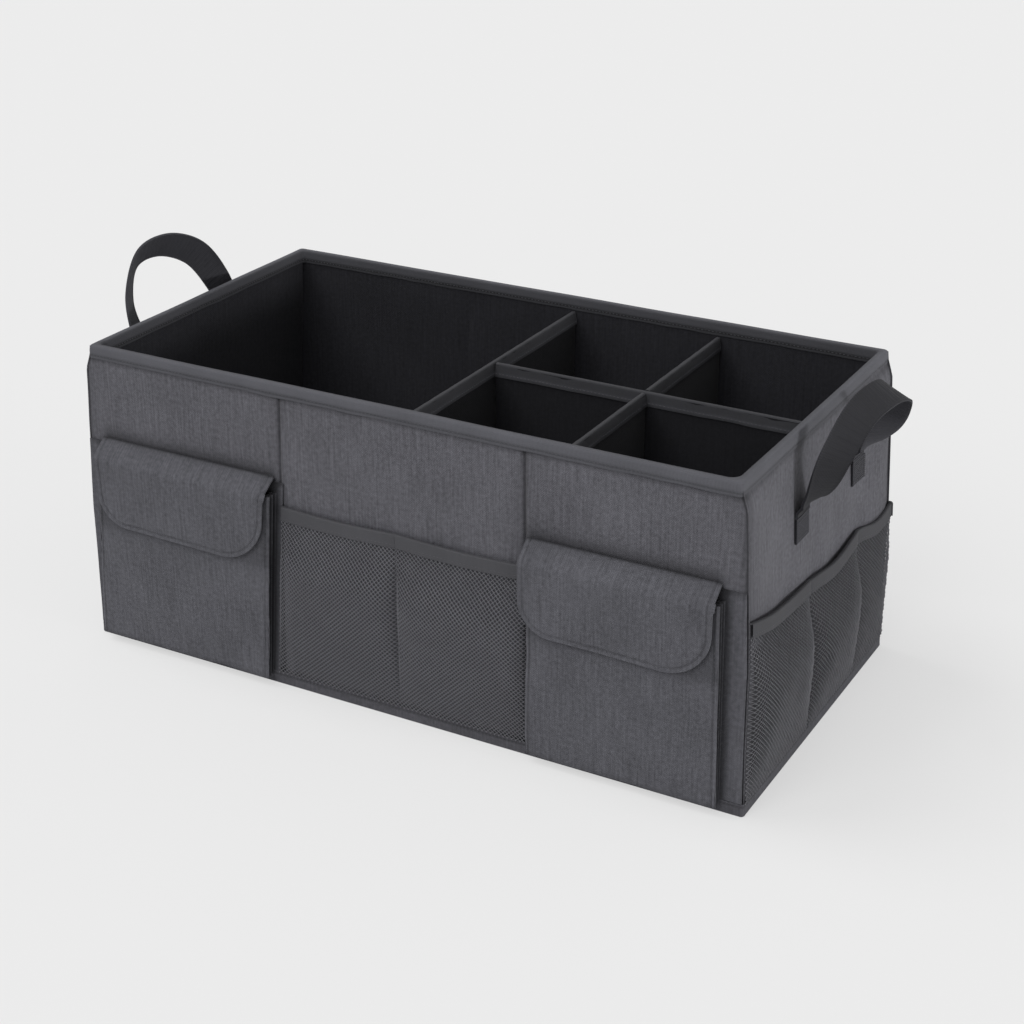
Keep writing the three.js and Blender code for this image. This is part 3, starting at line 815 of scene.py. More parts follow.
BEND_HEIGHT = (HINGE_OUT + HINGE_HEIGHT * math.tan(FLAP_SLOPE) - hang_out(0)) / (
    math.tan(FLAP_SLOPE) + LEAN)
BEND_ANGLE = FLAP_SLOPE + HANG_SLOPE
FIRST_RUN = math.hypot(hang_out(BEND_HEIGHT) - HINGE_OUT, HINGE_HEIGHT - BEND_HEIGHT)
FIRST_RUN -= FLAP_BEND * math.tan(BEND_ANGLE / 2)
BEND_RUN = FLAP_BEND * BEND_ANGLE


def flap_point(run):
    """Middle line of the flap at a distance from its seam, as (out, height, heading)"""
    turned = np.clip((run - FIRST_RUN) / FLAP_BEND, 0, BEND_ANGLE)
    straight = np.minimum(run, FIRST_RUN)
    chord, facing = 2 * FLAP_BEND * np.sin(turned / 2), FLAP_SLOPE - turned / 2
    after = np.maximum(run - FIRST_RUN - BEND_RUN, 0)
    out = HINGE_OUT + straight * math.sin(FLAP_SLOPE) + chord * np.sin(facing)
    z = HINGE_HEIGHT - straight * math.cos(FLAP_SLOPE) - chord * np.cos(facing)
    return (out - after * math.sin(HANG_SLOPE), z - after * math.cos(HANG_SLOPE),
            FLAP_SLOPE - turned)


BEND_END = flap_point(FIRST_RUN + BEND_RUN)[1]
FLAP_RUN = FIRST_RUN + BEND_RUN + (BEND_END - FLAP_LOW) / math.cos(HANG_SLOPE)


def corner_cut(away, corner):
    """How much shorter the flap is near an upright edge"""
    reach = np.clip(corner - away, 0, corner)
    return corner - np.sqrt(corner ** 2 - reach ** 2)


def edge_distance(away, run, corner):
    """Distance to the nearest free edge on one half of the flap"""
    below = FLAP_RUN - run
    in_corner = (away < corner) & (below < corner)
    round_off = corner - np.hypot(corner - away, corner - below)
    return np.where(in_corner, round_off, np.minimum(away, below))


def flap_place(pocket, share, run, lift):
    """Points of a flap: share across it, distance from its seam, and out of its middle"""
    left, right_edge = flap_edges(pocket)
    out, z, heading = flap_point(run)
    x = mix(left(z), right_edge(z), share)
    return x, front_place(x, z + lift * np.sin(heading), out + lift * np.cos(heading))


def flap_width(pocket, z):
    left, right_edge = flap_edges(pocket)
    return float(right_edge(z) - left(z))


print("a flap runs %.1f mm from its seam to its edge" % (FLAP_RUN / MM))

# %% [markdown]
# Now the flaps themselves. A line of stitches runs round each near its edge and pulls a
# shallow groove. Each side leans by an amount of its own, the right corner is rounder
# than the left and hangs a little lower, as hand-guided sewing leaves it. The rows of
# the grid follow the rounded edge, so that the edge is smooth.

# %% Flaps
for name, pocket in POCKETS.items():
    seed = 70 if name == "left" else 75
    wide_low, wide = (flap_width(pocket, z) for z in (FLAP_LOW, HINGE_HEIGHT))
    share = ((1 - np.cos(np.pi * np.linspace(0, 1, 116))) / 2)[:, None]
    from_left, from_right = share * wide_low, (1 - share) * wide_low
    whole = FLAP_RUN + FLAP_SKEW * share
    whole = whole - corner_cut(from_left, FLAP_CORNERS[0]) - corner_cut(from_right, FLAP_CORNERS[1])
    run = whole * (1 - (1 - np.linspace(0, 1, 56)[None, :]) ** 1.3)
    level = run - FLAP_SKEW * share
    edge = np.minimum(edge_distance(from_left, level, FLAP_CORNERS[0]),
                      edge_distance(from_right, level, FLAP_CORNERS[1]))
    relief = 0.40 * MM * waves(share * wide + 0 * run, run, 0.08, seed) * smooth(0, 0.02, run)
    relief = relief - 0.30 * MM * groove(edge - STITCH_IN, 0.8 * MM)
    pulled = puckers(share * wide + run, edge - STITCH_IN, 0.012, 0.006, seed + 1)
    relief = relief + 0.22 * MM * pulled * smooth(0, STITCH_IN, edge)
    lift = FLAP_THICK / 2 + relief * smooth(0, 0.010, run)
    x, grid = flap_place(pocket, share, run, lift)
    # Painted shade along the stitch row, and a painted dark crease at the seam that fades over the
    # first few millimetres.
    dark = 0.30 * groove(edge - STITCH_IN, 0.8 * MM) + 0.7 * groove(run, 1.3 * MM)
    flap = sewn(name + "_flap", name + "_flap", "pocket_cloth", grid, FLAP_THICK, (0, -1, 0),
                np.stack([x, -run], -1), shade=dark + 0.18 * groove(run, 6 * MM))
    lost = (1 - math.pi / 4) * (FLAP_CORNERS[0] ** 2 + FLAP_CORNERS[1] ** 2)
    FLAP_RUN + FLAP_SKEW
    (wide + wide_low) / 2 * (FLAP_RUN + FLAP_SKEW / 2) - lost
    print(flap.name, "cut to %.0f x %.0f mm" % (wide / MM, (FLAP_RUN + FLAP_SKEW) / MM))

# %% [markdown]
# The nets. A knitted net could be a picture with holes, but then its silhouette and the
# light through it are wrong. Here every strand is real: lines run both ways at a slant
# over the swelling of each pocket, and Geometry Nodes give them their thickness.

# %% Shape of the nets
NET_LOW, NET_SEAT, NET_THICK, NET_TAPE = HEM + GAP, TAPE + 2 * GAP, 1 * MM, 11.5 * MM
left_inner, right_inner = pocket_edges(POCKETS["left"])[1], pocket_edges(POCKETS["right"])[0]
end_half = side_at(FACE_INSET + CLOTH)
# tape_shade paints the end net's tape darker, as shade; the front net's tape keeps its colour.
NETS = {
    "front_net": {"sag": 1.2 * MM, "tape_shade": 0.0,
        "stops": [lambda z: left_inner(z) + BACKING_SHOWS + GAP, lambda z: 5 * MM + 0 * z,
                  lambda z: right_inner(z) - GAP],
        "tops": [164 * MM] * 3, "bulges": [10 * MM] * 2, "place": front_place},
    "end_net": {"sag": 4.5 * MM, "tape_shade": 0.22,
        "stops": [lambda z: -end_half + 0 * z, lambda z: -25 * MM + 0 * z,
                  lambda z: 79 * MM + 0 * z, lambda z: end_half + 0 * z],
        "tops": [160 * MM, 139 * MM, 137 * MM, 135 * MM],
        "bulges": [12 * MM, 12 * MM, 4.5 * MM], "place": end_place},
}


def net_top(net, share):
    """Height of the upper edge; share counts pockets, so 1.5 is amid the second"""
    sag = net["sag"] * np.sin(np.pi * (share % 1)) ** 2
    return np.interp(share, range(len(net["tops"])), net["tops"]) - sag


def net_point(net, share, z, extra=0.0):
    """A point of the net's middle surface; share counts pockets along the wall"""
    share, z = np.broadcast_arrays(share, z)
    pocket = np.clip(share.astype(int), 0, len(net["bulges"]) - 1)
    u = share - pocket
    stops = np.stack([stop(z) for stop in net["stops"]])
    at = mix(np.take_along_axis(stops, pocket[None], 0)[0],
             np.take_along_axis(stops, pocket[None] + 1, 0)[0], u)
    top = net_top(net, share)
    v = (np.minimum(z, top - NET_TAPE) - NET_LOW) / (top - NET_LOW)
    bulge = np.array(net["bulges"])[pocket]
    swell = np.sqrt(np.clip(1 - np.abs(2 * u - 1) ** 4, 0, 1))
    fall = np.sin(0.8 * np.pi * v) * (1 - 0.78 * smooth(0.6, 0.92, v))
    folds = 0.12 * (1 - u) * waves(v * 0.1, u * 0.02, 0.02, 36) * groove(u, 0.35) * (pocket > 0)
    out = NET_SEAT + bulge * swell * fall * (1 + folds) + NET_THICK / 2 + extra
    return net["place"](at, z, out)


print("pockets in each net", [len(net["bulges"]) for net in NETS.values()])

# %% [markdown]
# Geometry Nodes make what repeats: strands, bristles and stitches. Each tree is built in
# the script with named inputs for its sizes. Three helpers open a tree, add a node whose
# sockets take values or links, and close the tree with real geometry and a material.

# %% Helpers for node trees
def node_tree(name, **sizes):
    """An empty tree with named inputs for its sizes and one for its material"""
    tree = bpy.data.node_groups.new(name, "GeometryNodeTree")
    socket = tree.interface.new_socket
    socket("Geometry", in_out="INPUT", socket_type="NodeSocketGeometry")
    for label, size in sizes.items():
        kind = "NodeSocketInt" if isinstance(size, int) else "NodeSocketFloat"
        socket(label, in_out="INPUT", socket_type=kind).default_value = size
    socket("Material", in_out="INPUT", socket_type="NodeSocketMaterial")
    socket("Geometry", in_out="OUTPUT", socket_type="NodeSocketGeometry")
    return tree, tree.nodes.new("NodeGroupInput"), tree.nodes.new("NodeGroupOutput")


def chain(tree, kind, **links):
    """A node whose sockets take values or links"""
    node = tree.nodes.new(kind)
    for key, value in links.items():
        socket = node.inputs[key.replace("_", " ")]
        if isinstance(value, bpy.types.NodeSocket):
            tree.links.new(value, socket)
        else:
            socket.default_value = value
    return node


def close_tree(tree, start, end, geometry):
    """Every tree ends in real geometry with its material"""
    real = chain(tree, "GeometryNodeRealizeInstances", Geometry=geometry)
    done = chain(tree, "GeometryNodeSetMaterial", Geometry=real.outputs["Geometry"],
                 Material=start.outputs["Material"])
    tree.links.new(done.outputs["Geometry"], end.inputs["Geometry"])
    return tree


# %% [markdown]
# The first tree thickens lines into strands: every line becomes a curve, and a small
# ring is carried along it. Its result is turned into a plain mesh, because other
# programs don't know Blender's trees.

# %% Node tree for strands


def strand_tree():
    tree, start, end = node_tree("strands", Radius=0.3 * MM, Sides=4)
    curve = chain(tree, "GeometryNodeMeshToCurve", Mesh=start.outputs["Geometry"])
    ring = chain(tree, "GeometryNodeCurvePrimitiveCircle", Resolution=start.outputs["Sides"],
                 Radius=start.outputs["Radius"])
    tube = chain(tree, "GeometryNodeCurveToMesh", Curve=curve.outputs["Curve"],
                 Profile_Curve=ring.outputs["Curve"])
    return close_tree(tree, start, end, tube.outputs["Mesh"])


def grow(piece, tree, **values):
    """Runs a tree on a piece and returns its result as a plain mesh object"""
    modifier = piece.modifiers.new("grow", "NODES")
    modifier.node_group = tree
    for item in tree.interface.items_tree:
        if item.in_out == "INPUT" and item.name in values:
            modifier[item.identifier] = values[item.name]
    bpy.context.view_layer.update()
    evaluated = piece.evaluated_get(bpy.context.evaluated_depsgraph_get())
    mesh = bpy.data.meshes.new_from_object(evaluated)
    name = piece.name
    bpy.data.objects.remove(piece)
    result = bpy.data.objects.new(name, mesh)
    bpy.context.scene.collection.objects.link(result)
    return result


def lines_object(name, lines):
    """Loose polylines as one mesh of edges"""
    vertices = np.concatenate(lines)
    starts = np.cumsum([0] + [len(line) for line in lines[:-1]])
    edges = [(s + i, s + i + 1) for s, line in zip(starts, lines) for i in range(len(line) - 1)]
    return new_object(name, vertices, [], None, edges)


# %% [markdown]
# Materials. Blender's shaders are made of nodes, and a pattern needs many small maths
# nodes. A class that wraps a socket lets Python's own + and * add them, so that a
# pattern reads like a formula.

# %% A class for shader maths


class Value:
    def __init__(self, nodes, socket):
        self.nodes, self.socket = nodes, socket

    def combine(self, operation, other=None, swap=False):
        node = self.nodes.new("ShaderNodeMath")
        node.operation = operation
        pair = [self] if other is None else [other, self] if swap else [self, other]
        for i, item in enumerate(pair):
            if isinstance(item, Value):
                self.nodes.id_data.links.new(item.socket, node.inputs[i])
            else:
                node.inputs[i].default_value = item
        return Value(self.nodes, node.outputs[0])

    def __add__(self, other):
        return self.combine("ADD", other)

    __radd__ = __add__

    def __sub__(self, other):
        return self.combine("SUBTRACT", other)

    def __rsub__(self, other):
        return self.combine("SUBTRACT", other, swap=True)

    def __mul__(self, other):
        return self.combine("MULTIPLY", other)

    __rmul__ = __mul__

    def sine(self):
        return self.combine("SINE")


# %% [markdown]
# A second class holds one material. Patterns read the piece's own UV map, which is in
# metres, or its Object coordinates, so they have their real size and stay on the piece
# when it moves. Only colour, roughness and bump change over a surface.

# %% A class for finishes


class Finish:
    """A material and the nodes that make it"""

    def __init__(self, name):
        self.material = bpy.data.materials.new(name)
        self.material.use_nodes = True
        self.nodes = self.material.node_tree.nodes
        self.shader = self.nodes["Principled BSDF"]

    def node(self, kind, settings=(), **links):
        node = self.nodes.new(kind)
        for key, value in dict(settings).items():
            setattr(node, key, value)
        for key, value in links.items():
            socket = node.inputs[key.replace("_", " ")]
            if isinstance(value, Value):
                self.material.node_tree.links.new(value.socket, socket)
            else:
                socket.default_value = value
        return node

    def value(self, node, output=0):
        return Value(self.nodes, node.outputs[output])

    def feed(self, socket, value):
        self.material.node_tree.links.new(value.socket, self.shader.inputs[socket])

    def surface(self, uv=True):
        """The vector that patterns read, and its first two numbers"""
        if uv:
            source = self.value(self.node("ShaderNodeUVMap", {"uv_map": "cloth"}))
        else:
            source = self.value(self.node("ShaderNodeTexCoord"), "Object")
        parts = self.node("ShaderNodeSeparateXYZ", Vector=source)
        return source, self.value(parts, 0), self.value(parts, 1)

    def noise(self, vector, scale, detail=2.0):
        return self.value(self.node("ShaderNodeTexNoise", Vector=vector, Scale=scale,
                                    Detail=detail))

    def shaded(self, colour, dark):
        """The same colour, darker where the piece's shade attribute says so: painted shade on
        most pieces, and a plain darker tone on the divider boards and tapes
        """
        shade = self.value(self.node("ShaderNodeAttribute", {"attribute_name": "shade"}), "Fac")
        node = self.node("ShaderNodeMix", {"data_type": "RGBA"})
        self.material.node_tree.links.new(shade.socket, node.inputs[0])
        self.material.node_tree.links.new(colour.socket, node.inputs[6])
        node.inputs[7].default_value = (*dark, 1)
        return Value(self.nodes, node.outputs[2])

    def stretched(self, source, scale):
        return self.value(self.node("ShaderNodeMapping", Vector=source, Scale=scale))

    def blend(self, factor, low, high):
        """Colour between two colours"""
        node = self.node("ShaderNodeMix", {"data_type": "RGBA"})
        self.material.node_tree.links.new(factor.socket, node.inputs[0])
        node.inputs[6].default_value = (*low, 1)
        node.inputs[7].default_value = (*high, 1)
        return Value(self.nodes, node.outputs[2])

    def bump(self, height, distance, strength=1.0):
        node = self.node("ShaderNodeBump", Height=height, Distance=distance, Strength=strength)
        self.feed("Normal", self.value(node))


# %% [markdown]
# Three kinds of finish are enough for the whole object. The cloth is a plain weave with
# a fuzz of loose fibres, short streaks of lighter yarn, a slow change of tone, and bump
# at the size of its threads. Tape and webbing have ribs across them. Yarn for nets and
# stitches only needs a little fuzz.

# %% Woven cloth, ribbed tape and yarn


def tint(colour, share):
    return tuple(min(1.0, c * share) for c in colour)


def woven(name, colour, thread, depth, contrast=0.16, uv=True, rough=0.86):
    """A plain weave with a fuzz of fibres"""
    finish = Finish(name)
    source, u, v = finish.surface(uv)
    pace = math.pi / thread
    weave = (u * pace).sine() * (v * pace).sine()
    fuzz = finish.noise(source, 1400, 3.0)
    tone = finish.noise(source, 18, 2.0)
    patch = finish.noise(source, 300, 3.0)
    streak = finish.noise(finish.stretched(source, (1.0, 0.04, 1.0)), 650, 2.0)
    mask = weave * 0.15 + fuzz * 0.5 + tone * 0.5 + patch * 0.9 + streak * 0.8 - 0.85
    cloth_colour = finish.blend(mask, tint(colour, 1 - 2 * contrast),
                                tint(colour, 1 + 2 * contrast))
    # The shade attribute mixes in a dark tint: painted shade on walls, pockets and flaps, a darker
    # tone on the divider boards.
    finish.feed("Base Color", finish.shaded(cloth_colour, tint(colour, 0.18)))
    finish.feed("Roughness", fuzz * 0.12 + (rough - 0.06))
    finish.bump(weave * 0.5 + fuzz * 0.6 + patch * 0.5, depth, 0.6)
    finish.shader.inputs["Specular IOR Level"].default_value = 0.14
    finish.shader.inputs["Sheen Weight"].default_value = 0.06
    finish.shader.inputs["Sheen Roughness"].default_value = 0.5
    return finish.material


def ribbed(name, colour, rib, depth, contrast=0.2, rough=0.8):
    """A tape or webbing with ribs across it"""
    finish = Finish(name)
    source, u, v = finish.surface()
    ribs = (u * (2 * math.pi / rib)).sine()
    threads = (v * (2 * math.pi / (rib * 0.7))).sine()
    fuzz = finish.noise(source, 1200, 3.0)
    tone = finish.noise(source, 22, 2.0)
    mask = ribs * 0.20 + threads * 0.08 + fuzz * 0.5 + tone * 0.5
    tape = finish.blend(mask, tint(colour, 1 - 2 * contrast), tint(colour, 1 + 2 * contrast))
    # The shade attribute mixes in a dark tint: painted shade on the rim and the end net's tape, a
    # darker tone on the divider tapes.
    finish.feed("Base Color", finish.shaded(tape, tint(colour, 0.12)))
    finish.feed("Roughness", fuzz * 0.15 + (rough - 0.08))
    finish.bump(ribs * 0.5 + threads * 0.2 + fuzz * 0.3, depth, 0.7)
    finish.shader.inputs["Specular IOR Level"].default_value = 0.3
    return finish.material


def strands(name, colour, rough=0.75):
    """Twisted yarn, for nets and thread"""
    finish = Finish(name)
    source = finish.surface(uv=False)[0]
    fuzz = finish.noise(source, 2600, 2.0)
    tone = finish.noise(source, 60, 2.0)
    finish.feed("Base Color", finish.blend(fuzz * 0.6 + tone * 0.4, tint(colour, 0.6),
                                           tint(colour, 1.5)))
    finish.feed("Roughness", fuzz * 0.2 + (rough - 0.1))
    finish.bump(fuzz, 0.1 * MM, 0.5)
    return finish.material


# %% [markdown]
# The colours are matched to the photo where its light is plain: a dark grey with a trace
# of violet. The pockets and tapes are a shade darker than the walls, the fleece inside
# is nearly black, and the boards are a plain tan card that never shows.

# %% The finishes
MATERIALS = {
    "outer_cloth": woven("outer_cloth", (0.0880, 0.0870, 0.0985), 0.9 * MM, 0.22 * MM, 0.24),
    "pocket_cloth": woven("pocket_cloth", (0.0780, 0.0780, 0.0885), 0.9 * MM, 0.22 * MM, 0.24),
    "lining_cloth": woven("lining_cloth", (0.0175, 0.0175, 0.0210), 1.1 * MM, 0.15 * MM, 0.2,
                          rough=0.93),
    "binding_tape": ribbed("binding_tape", (0.0775, 0.0780, 0.0890), 1.0 * MM, 0.15 * MM),
    "net_binding": ribbed("net_binding", (0.056, 0.056, 0.062), 1.0 * MM, 0.12 * MM),
    "webbing": ribbed("webbing", (0.0320, 0.0320, 0.0380), 1.7 * MM, 0.3 * MM, contrast=0.3),
    "front_net": strands("front_net", (0.138, 0.138, 0.152)),
    # end_net is the same yarn as front_net, painted darker as shade.
    "end_net": strands("end_net", (0.100, 0.100, 0.110)),
    "hook_and_loop": strands("hook_and_loop", (0.010, 0.010, 0.011)),
    "thread": strands("thread", (0.045, 0.045, 0.052), 0.6),
    "board": woven("board", (0.24, 0.19, 0.12), 2.5 * MM, 0.1 * MM, 0.1, uv=False),
}
print("finishes", len(MATERIALS))

# %% [markdown]
# Now the strands of the nets. Lines slant both ways across each pocket and stop at its
# seams and under its tape. A point is kept only where both its share along the wall and
# its height are inside the pocket. Where two lines cross, a knitted net has a small
# knot, and a short thick strand stands for it.

# %% Net strands
NET_STEP = 1.9 * MM
STRAND_RADIUS = 0.34 * MM
KNOT = 0.5 * MM
strand = strand_tree()


def net_mesh(net):
    """Slanting lines over one net in both directions, and the points where they cross"""
    stops = [float(stop(np.array(80 * MM))) for stop in net["stops"]]
    lines, knots = [], []
    for pocket in range(len(net["bulges"])):
        width = stops[pocket + 1] - stops[pocket]
        step = width / (2 * round(width / (2 * NET_STEP)))
        top = max(net["tops"][pocket:pocket + 2]) - NET_TAPE + 2 * MM
        climb = np.arange(0, top - NET_LOW, step)
        for way in (1, -1):
            for k in np.arange(-math.ceil(climb[-1] / step / 2) * 2, width / step, 2):
                along = k * step + climb
                along = along if way > 0 else width - along
                z = NET_LOW + climb
                share = np.clip(pocket + along / width, pocket, pocket + 0.9999)
                inside = (along > -0.1 * MM) & (along < width + 0.1 * MM)
                inside &= z < net_top(net, share) - NET_TAPE + 1.5 * MM
                if inside.sum() < 2:
                    continue
                wobble = 0.25 * MM * np.sin(climb * 900 + k * 0.7)
                points = net_point(net, share[inside], z[inside], wobble[inside])
                lines.append(points)
                if way > 0:
                    knots += [np.array([p - (0, 0, KNOT), p + (0, 0, KNOT)]) for p in points]
    return lines, knots


for name, net in NETS.items():
    lines, knots = net_mesh(net)
    # Each net takes its own finish, and the end net's is painted darker as shade.
    knit = grow(lines_object(name + "_knit", lines), strand,
                Radius=STRAND_RADIUS, Sides=3, Material=MATERIALS[name])
    place(knit, "organizer", "net", name)
    knit = grow(lines_object(name + "_knots", knots), strand,
                Radius=1.6 * STRAND_RADIUS, Sides=4, Material=MATERIALS[name])
    place(knit, "organizer", "net")
    print(name, len(lines), "strands", len(knots), "knots")

# %% [markdown]
# The tape on the upper edge of each net is elastic and follows the swelling. Where two
# pockets meet it is drawn to the wall.

# %% Net bindings
for name, net in NETS.items():
    share = np.concatenate([k + (1 - np.cos(np.pi * np.linspace(0, 1, 48, endpoint=False))) / 2
                            for k in range(len(net["bulges"]))] + [[len(net["bulges"]) - 0.02]])
    half = NET_THICK / 2 + GAP + TAPE
    line = []
    for across, drop in tape_section(2 * half, NET_TAPE, 1.2 * MM):
        z = net_top(net, share) - drop
        line.append(net_point(net, share, z, (0.5 - across) * 2 * half))
    # tape_shade darkens the end net's tape as painted shade.
    tape = sewn(name + "_binding", "organizer", "net_binding", np.stack(line, 1), TAPE,
                (0, 0, 1), shade=np.full((1, 1), net["tape_shade"]))
    print(tape.name, len(tape.data.polygons))

# %% [markdown]
# The handles are stiff webbing, stitched flat at both ends, with a half twist between.
# The middle line is a smooth curve through a few points, and the width turns about it as
# it goes. Simulating a strip that is twisted, sewn and set by years of folding would
# need many tries, and points read from the photo give its shape at once.

# %% Shape of the handles
HANDLES = {
    "left": {"side": -1, "lift": -60, "turn": lambda s: 180 * s,
             "route": [(6, -61, 16), (19, -64, 45), (29, -60, 74), (32, -42, 104),
                       (28, -13, 109), (21, 22, 94), (16, 46, 63), (8, 55, 30)]},
    "right": {"side": 1, "lift": -30, "turn": lambda s: 83 * math.sin(math.pi * s) ** 0.6,
              "route": [(12, -63, 20), (25, -66, 54), (36, -50, 84), (43, -24, 91),
                        (43, 6, 82), (31, 38, 52), (14, 58, 20)]},
}
FLAT_SHARE, FLAT_TALL = 0.05, 4 * MM
LOOP_FOOT = SEWN_LOW + SEWN_TALL + GAP
WEB_OUT, WEB_STEP = GAP + WEB_THICK / 2, 0.5 * MM
RIB = 1.7 * MM


def through_points(points, per_span=60):
    """A smooth curve through points, with its pace set by the square root of distance"""
    points = np.asarray(points, float)
    points = np.vstack([2 * points[0] - points[1], points, 2 * points[-1] - points[-2]])
    curve = []
    for a, b, c, d in zip(points, points[1:], points[2:], points[3:]):
        t0, t1, t2 = (np.linalg.norm(q - p) ** 0.5 for p, q in ((a, b), (b, c), (c, d)))
        leave = ((b - a) / t0 - (c - a) / (t0 + t1) + (c - b) / t1) * t1
        arrive = ((c - b) / t1 - (d - b) / (t1 + t2) + (d - c) / t2) * t1
        s = np.linspace(0, 1, per_span, endpoint=False)[:, None]
        curve.append((2 * s ** 3 - 3 * s ** 2 + 1) * b + (s ** 3 - 2 * s ** 2 + s) * leave
                     + (3 * s ** 2 - 2 * s ** 3) * c + (s ** 3 - s ** 2) * arrive)
    return np.vstack(curve + [points[-2]])


def even(points, step):
    """The same line with points a step apart"""
    run = np.concatenate([[0], np.cumsum(np.linalg.norm(np.diff(points, axis=0), axis=1))])
    want = np.linspace(0, run[-1], max(2, int(run[-1] / step)))
    return np.stack([np.interp(want, run, points[:, k]) for k in range(3)], 1), want


def rib_height(run):
    return 0.2 * MM * np.sin(2 * np.pi * run / RIB)


def middle_line(name, handle):
    """Evenly spaced points from foot to foot, and the distance run to each"""
    side, middle = handle["side"], HANDLE_MIDDLE[name]
    wall = end_at(LOOP_FOOT, FACE_INSET)
    foot = [end_place(middle + toward * LEG_SPAN / 2, z, WEB_OUT, side)
            for toward in (-1, 1) for z in (LOOP_FOOT, LOOP_FOOT + FLAT_TALL)]
    route = [np.array([side * (wall + WEB_OUT + out * MM), middle + along * MM,
                       LOOP_FOOT + above * MM]) for out, along, above in handle["route"]]
    return even(through_points([foot[0], foot[1], *route, foot[3], foot[2]]), WEB_STEP)


print("handle routes", [len(handle["route"]) for handle in HANDLES.values()])

# %% [markdown]
# Each loop is a strip laid along its middle line. Ribs run across the webbing, and they
# are real here, because they show on its edge. The strip is a little thinner along both
# edges, as woven webbing is.

# %% Handle loops
for name, handle in HANDLES.items():
    side = handle["side"]
    centre, run = middle_line(name, handle)
    tangent = np.gradient(centre, axis=0)
    tangent /= np.linalg.norm(tangent, axis=1, keepdims=True)
    tangent[0], tangent[-1] = (0, 0, 1), (0, 0, -1)
    tip = math.radians(handle["lift"])
    tipped = np.array([side * math.cos(tip), 0, math.sin(tip)])
    share = np.clip((run / run[-1] - FLAT_SHARE) / (1 - 2 * FLAT_SHARE), 0, 1)
    turned = np.radians([handle["turn"](s) for s in share])[:, None]
    across = np.cos(turned) * np.array([0, 1, 0]) + np.sin(turned) * tipped
    across -= tangent * (across * tangent).sum(1, keepdims=True)
    across /= np.linalg.norm(across, axis=1, keepdims=True)
    through = np.cross(tangent, across)
    widths = np.linspace(-0.5, 0.5, 13) * WEB_WIDE
    edge = smooth(0, 1.6 * MM, WEB_WIDE / 2 - np.abs(widths))
    rise_out = WEB_THICK / 2 * (0.55 + 0.45 * edge)[None, :] + rib_height(run)[:, None] * edge
    grid = centre[:, None] + across[:, None] * widths[None, :, None]
    front_face = grid + through[:, None] * rise_out[..., None]
    uv = np.stack([np.broadcast_to(run[:, None], rise_out.shape),
                   np.broadcast_to(widths, rise_out.shape)], -1)
    # Painted shade on the inner face of the right handle, which faces away from the light.
    loop = cloth(name + "_handle_webbing", front_face, WEB_THICK, through[len(run) // 2], uv,
                 shade=np.zeros((1, 1)), inner_shade=np.full((1, 1), 0.5 if side > 0 else 0))
    place(loop, name + "_handle", "webbing", name + "_handle")
    print(loop.name, "%.0f mm long" % (run[-1] / MM))

# %% [markdown]
# Each end of a handle is a square of webbing sewn flat on the wall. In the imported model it
# belongs to the box, and the loop above it swings. So it is a piece of its own here too.

# %% Sewn ends of the handles
for name, handle in HANDLES.items():
    for end, toward in (("front", -1), ("back", 1)):
        y0 = HANDLE_MIDDLE[name] + toward * LEG_SPAN / 2
        zs = np.linspace(SEWN_LOW, SEWN_LOW + SEWN_TALL, 60)
        widths = np.linspace(-0.5, 0.5, 25)[:, None] * WEB_WIDE
        y = y0 + widths + 0 * zs
        z = np.broadcast_to(zs, y.shape)
        edge = np.minimum(np.minimum(WEB_WIDE / 2 - np.abs(widths), z - SEWN_LOW),
                          SEWN_LOW + SEWN_TALL - z)
        out = GAP + WEB_THICK + rib_height(z) * 0.8 - 0.15 * MM * groove(edge - 3 * MM, 1.0 * MM)
        out = out - 0.4 * MM * groove(edge, 0.8 * MM)
        node = "%s_handle_%s_end" % (name, end)
        patch = cloth(node + "_webbing", end_place(y, z, out, handle["side"]),
                      WEB_THICK - 0.1 * MM, (handle["side"], 0, 0), np.stack([z, y], -1))
        place(patch, "organizer", "webbing", node)
        print(patch.name, len(patch.data.polygons))

# %% [markdown]
# Hook-and-loop patches close the flaps. They show only when a flap is up, so each is its
# packed plate under a pile of short bristles. Geometry Nodes scatter the bristles on the
# plate's outer face with a fixed seed.

# %% Hook-and-loop patches


def pile_tree():
    tree, start, end = node_tree("pile", Density=3.5e5, Length=0.3 * MM, Seed=5)
    scatter = chain(tree, "GeometryNodeDistributePointsOnFaces",
                    Mesh=start.outputs["Geometry"], Density=start.outputs["Density"],
                    Seed=start.outputs["Seed"])
    bristle = chain(tree, "GeometryNodeMeshCone", Vertices=4, Radius_Top=0.08 * MM,
                    Radius_Bottom=0.14 * MM, Depth=start.outputs["Length"])
    spread = chain(tree, "GeometryNodeInstanceOnPoints", Points=scatter.outputs["Points"],
                   Instance=bristle.outputs["Mesh"], Rotation=scatter.outputs["Rotation"])
    real = chain(tree, "GeometryNodeRealizeInstances", Geometry=spread.outputs["Instances"])
    both = chain(tree, "GeometryNodeJoinGeometry")
    tree.links.new(real.outputs["Geometry"], both.inputs[0])
    tree.links.new(start.outputs["Geometry"], both.inputs[0])
    return close_tree(tree, start, end, both.outputs["Geometry"])


pile = pile_tree()
for name in POCKETS:
    for kind, body in (("pocket_loop", "organizer"), ("flap_hook", name + "_flap")):
        node = "%s_%s_patch" % (name, kind)
        plate = bpy.data.objects.new(node + "_pile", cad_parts[node].data.copy())
        bpy.context.scene.collection.objects.link(plate)
        patch = grow(plate, pile, Material=MATERIALS["hook_and_loop"])
        place(patch, body, "hook_and_loop", node)
        print(patch.name, len(patch.data.polygons))

# %% [markdown]
# Stitches. Each seam is a line of points, and the second node tree sets a small stitch
# every few millimetres along it, turned to follow it. One object holds the stitches of
# one body, so they move with it.

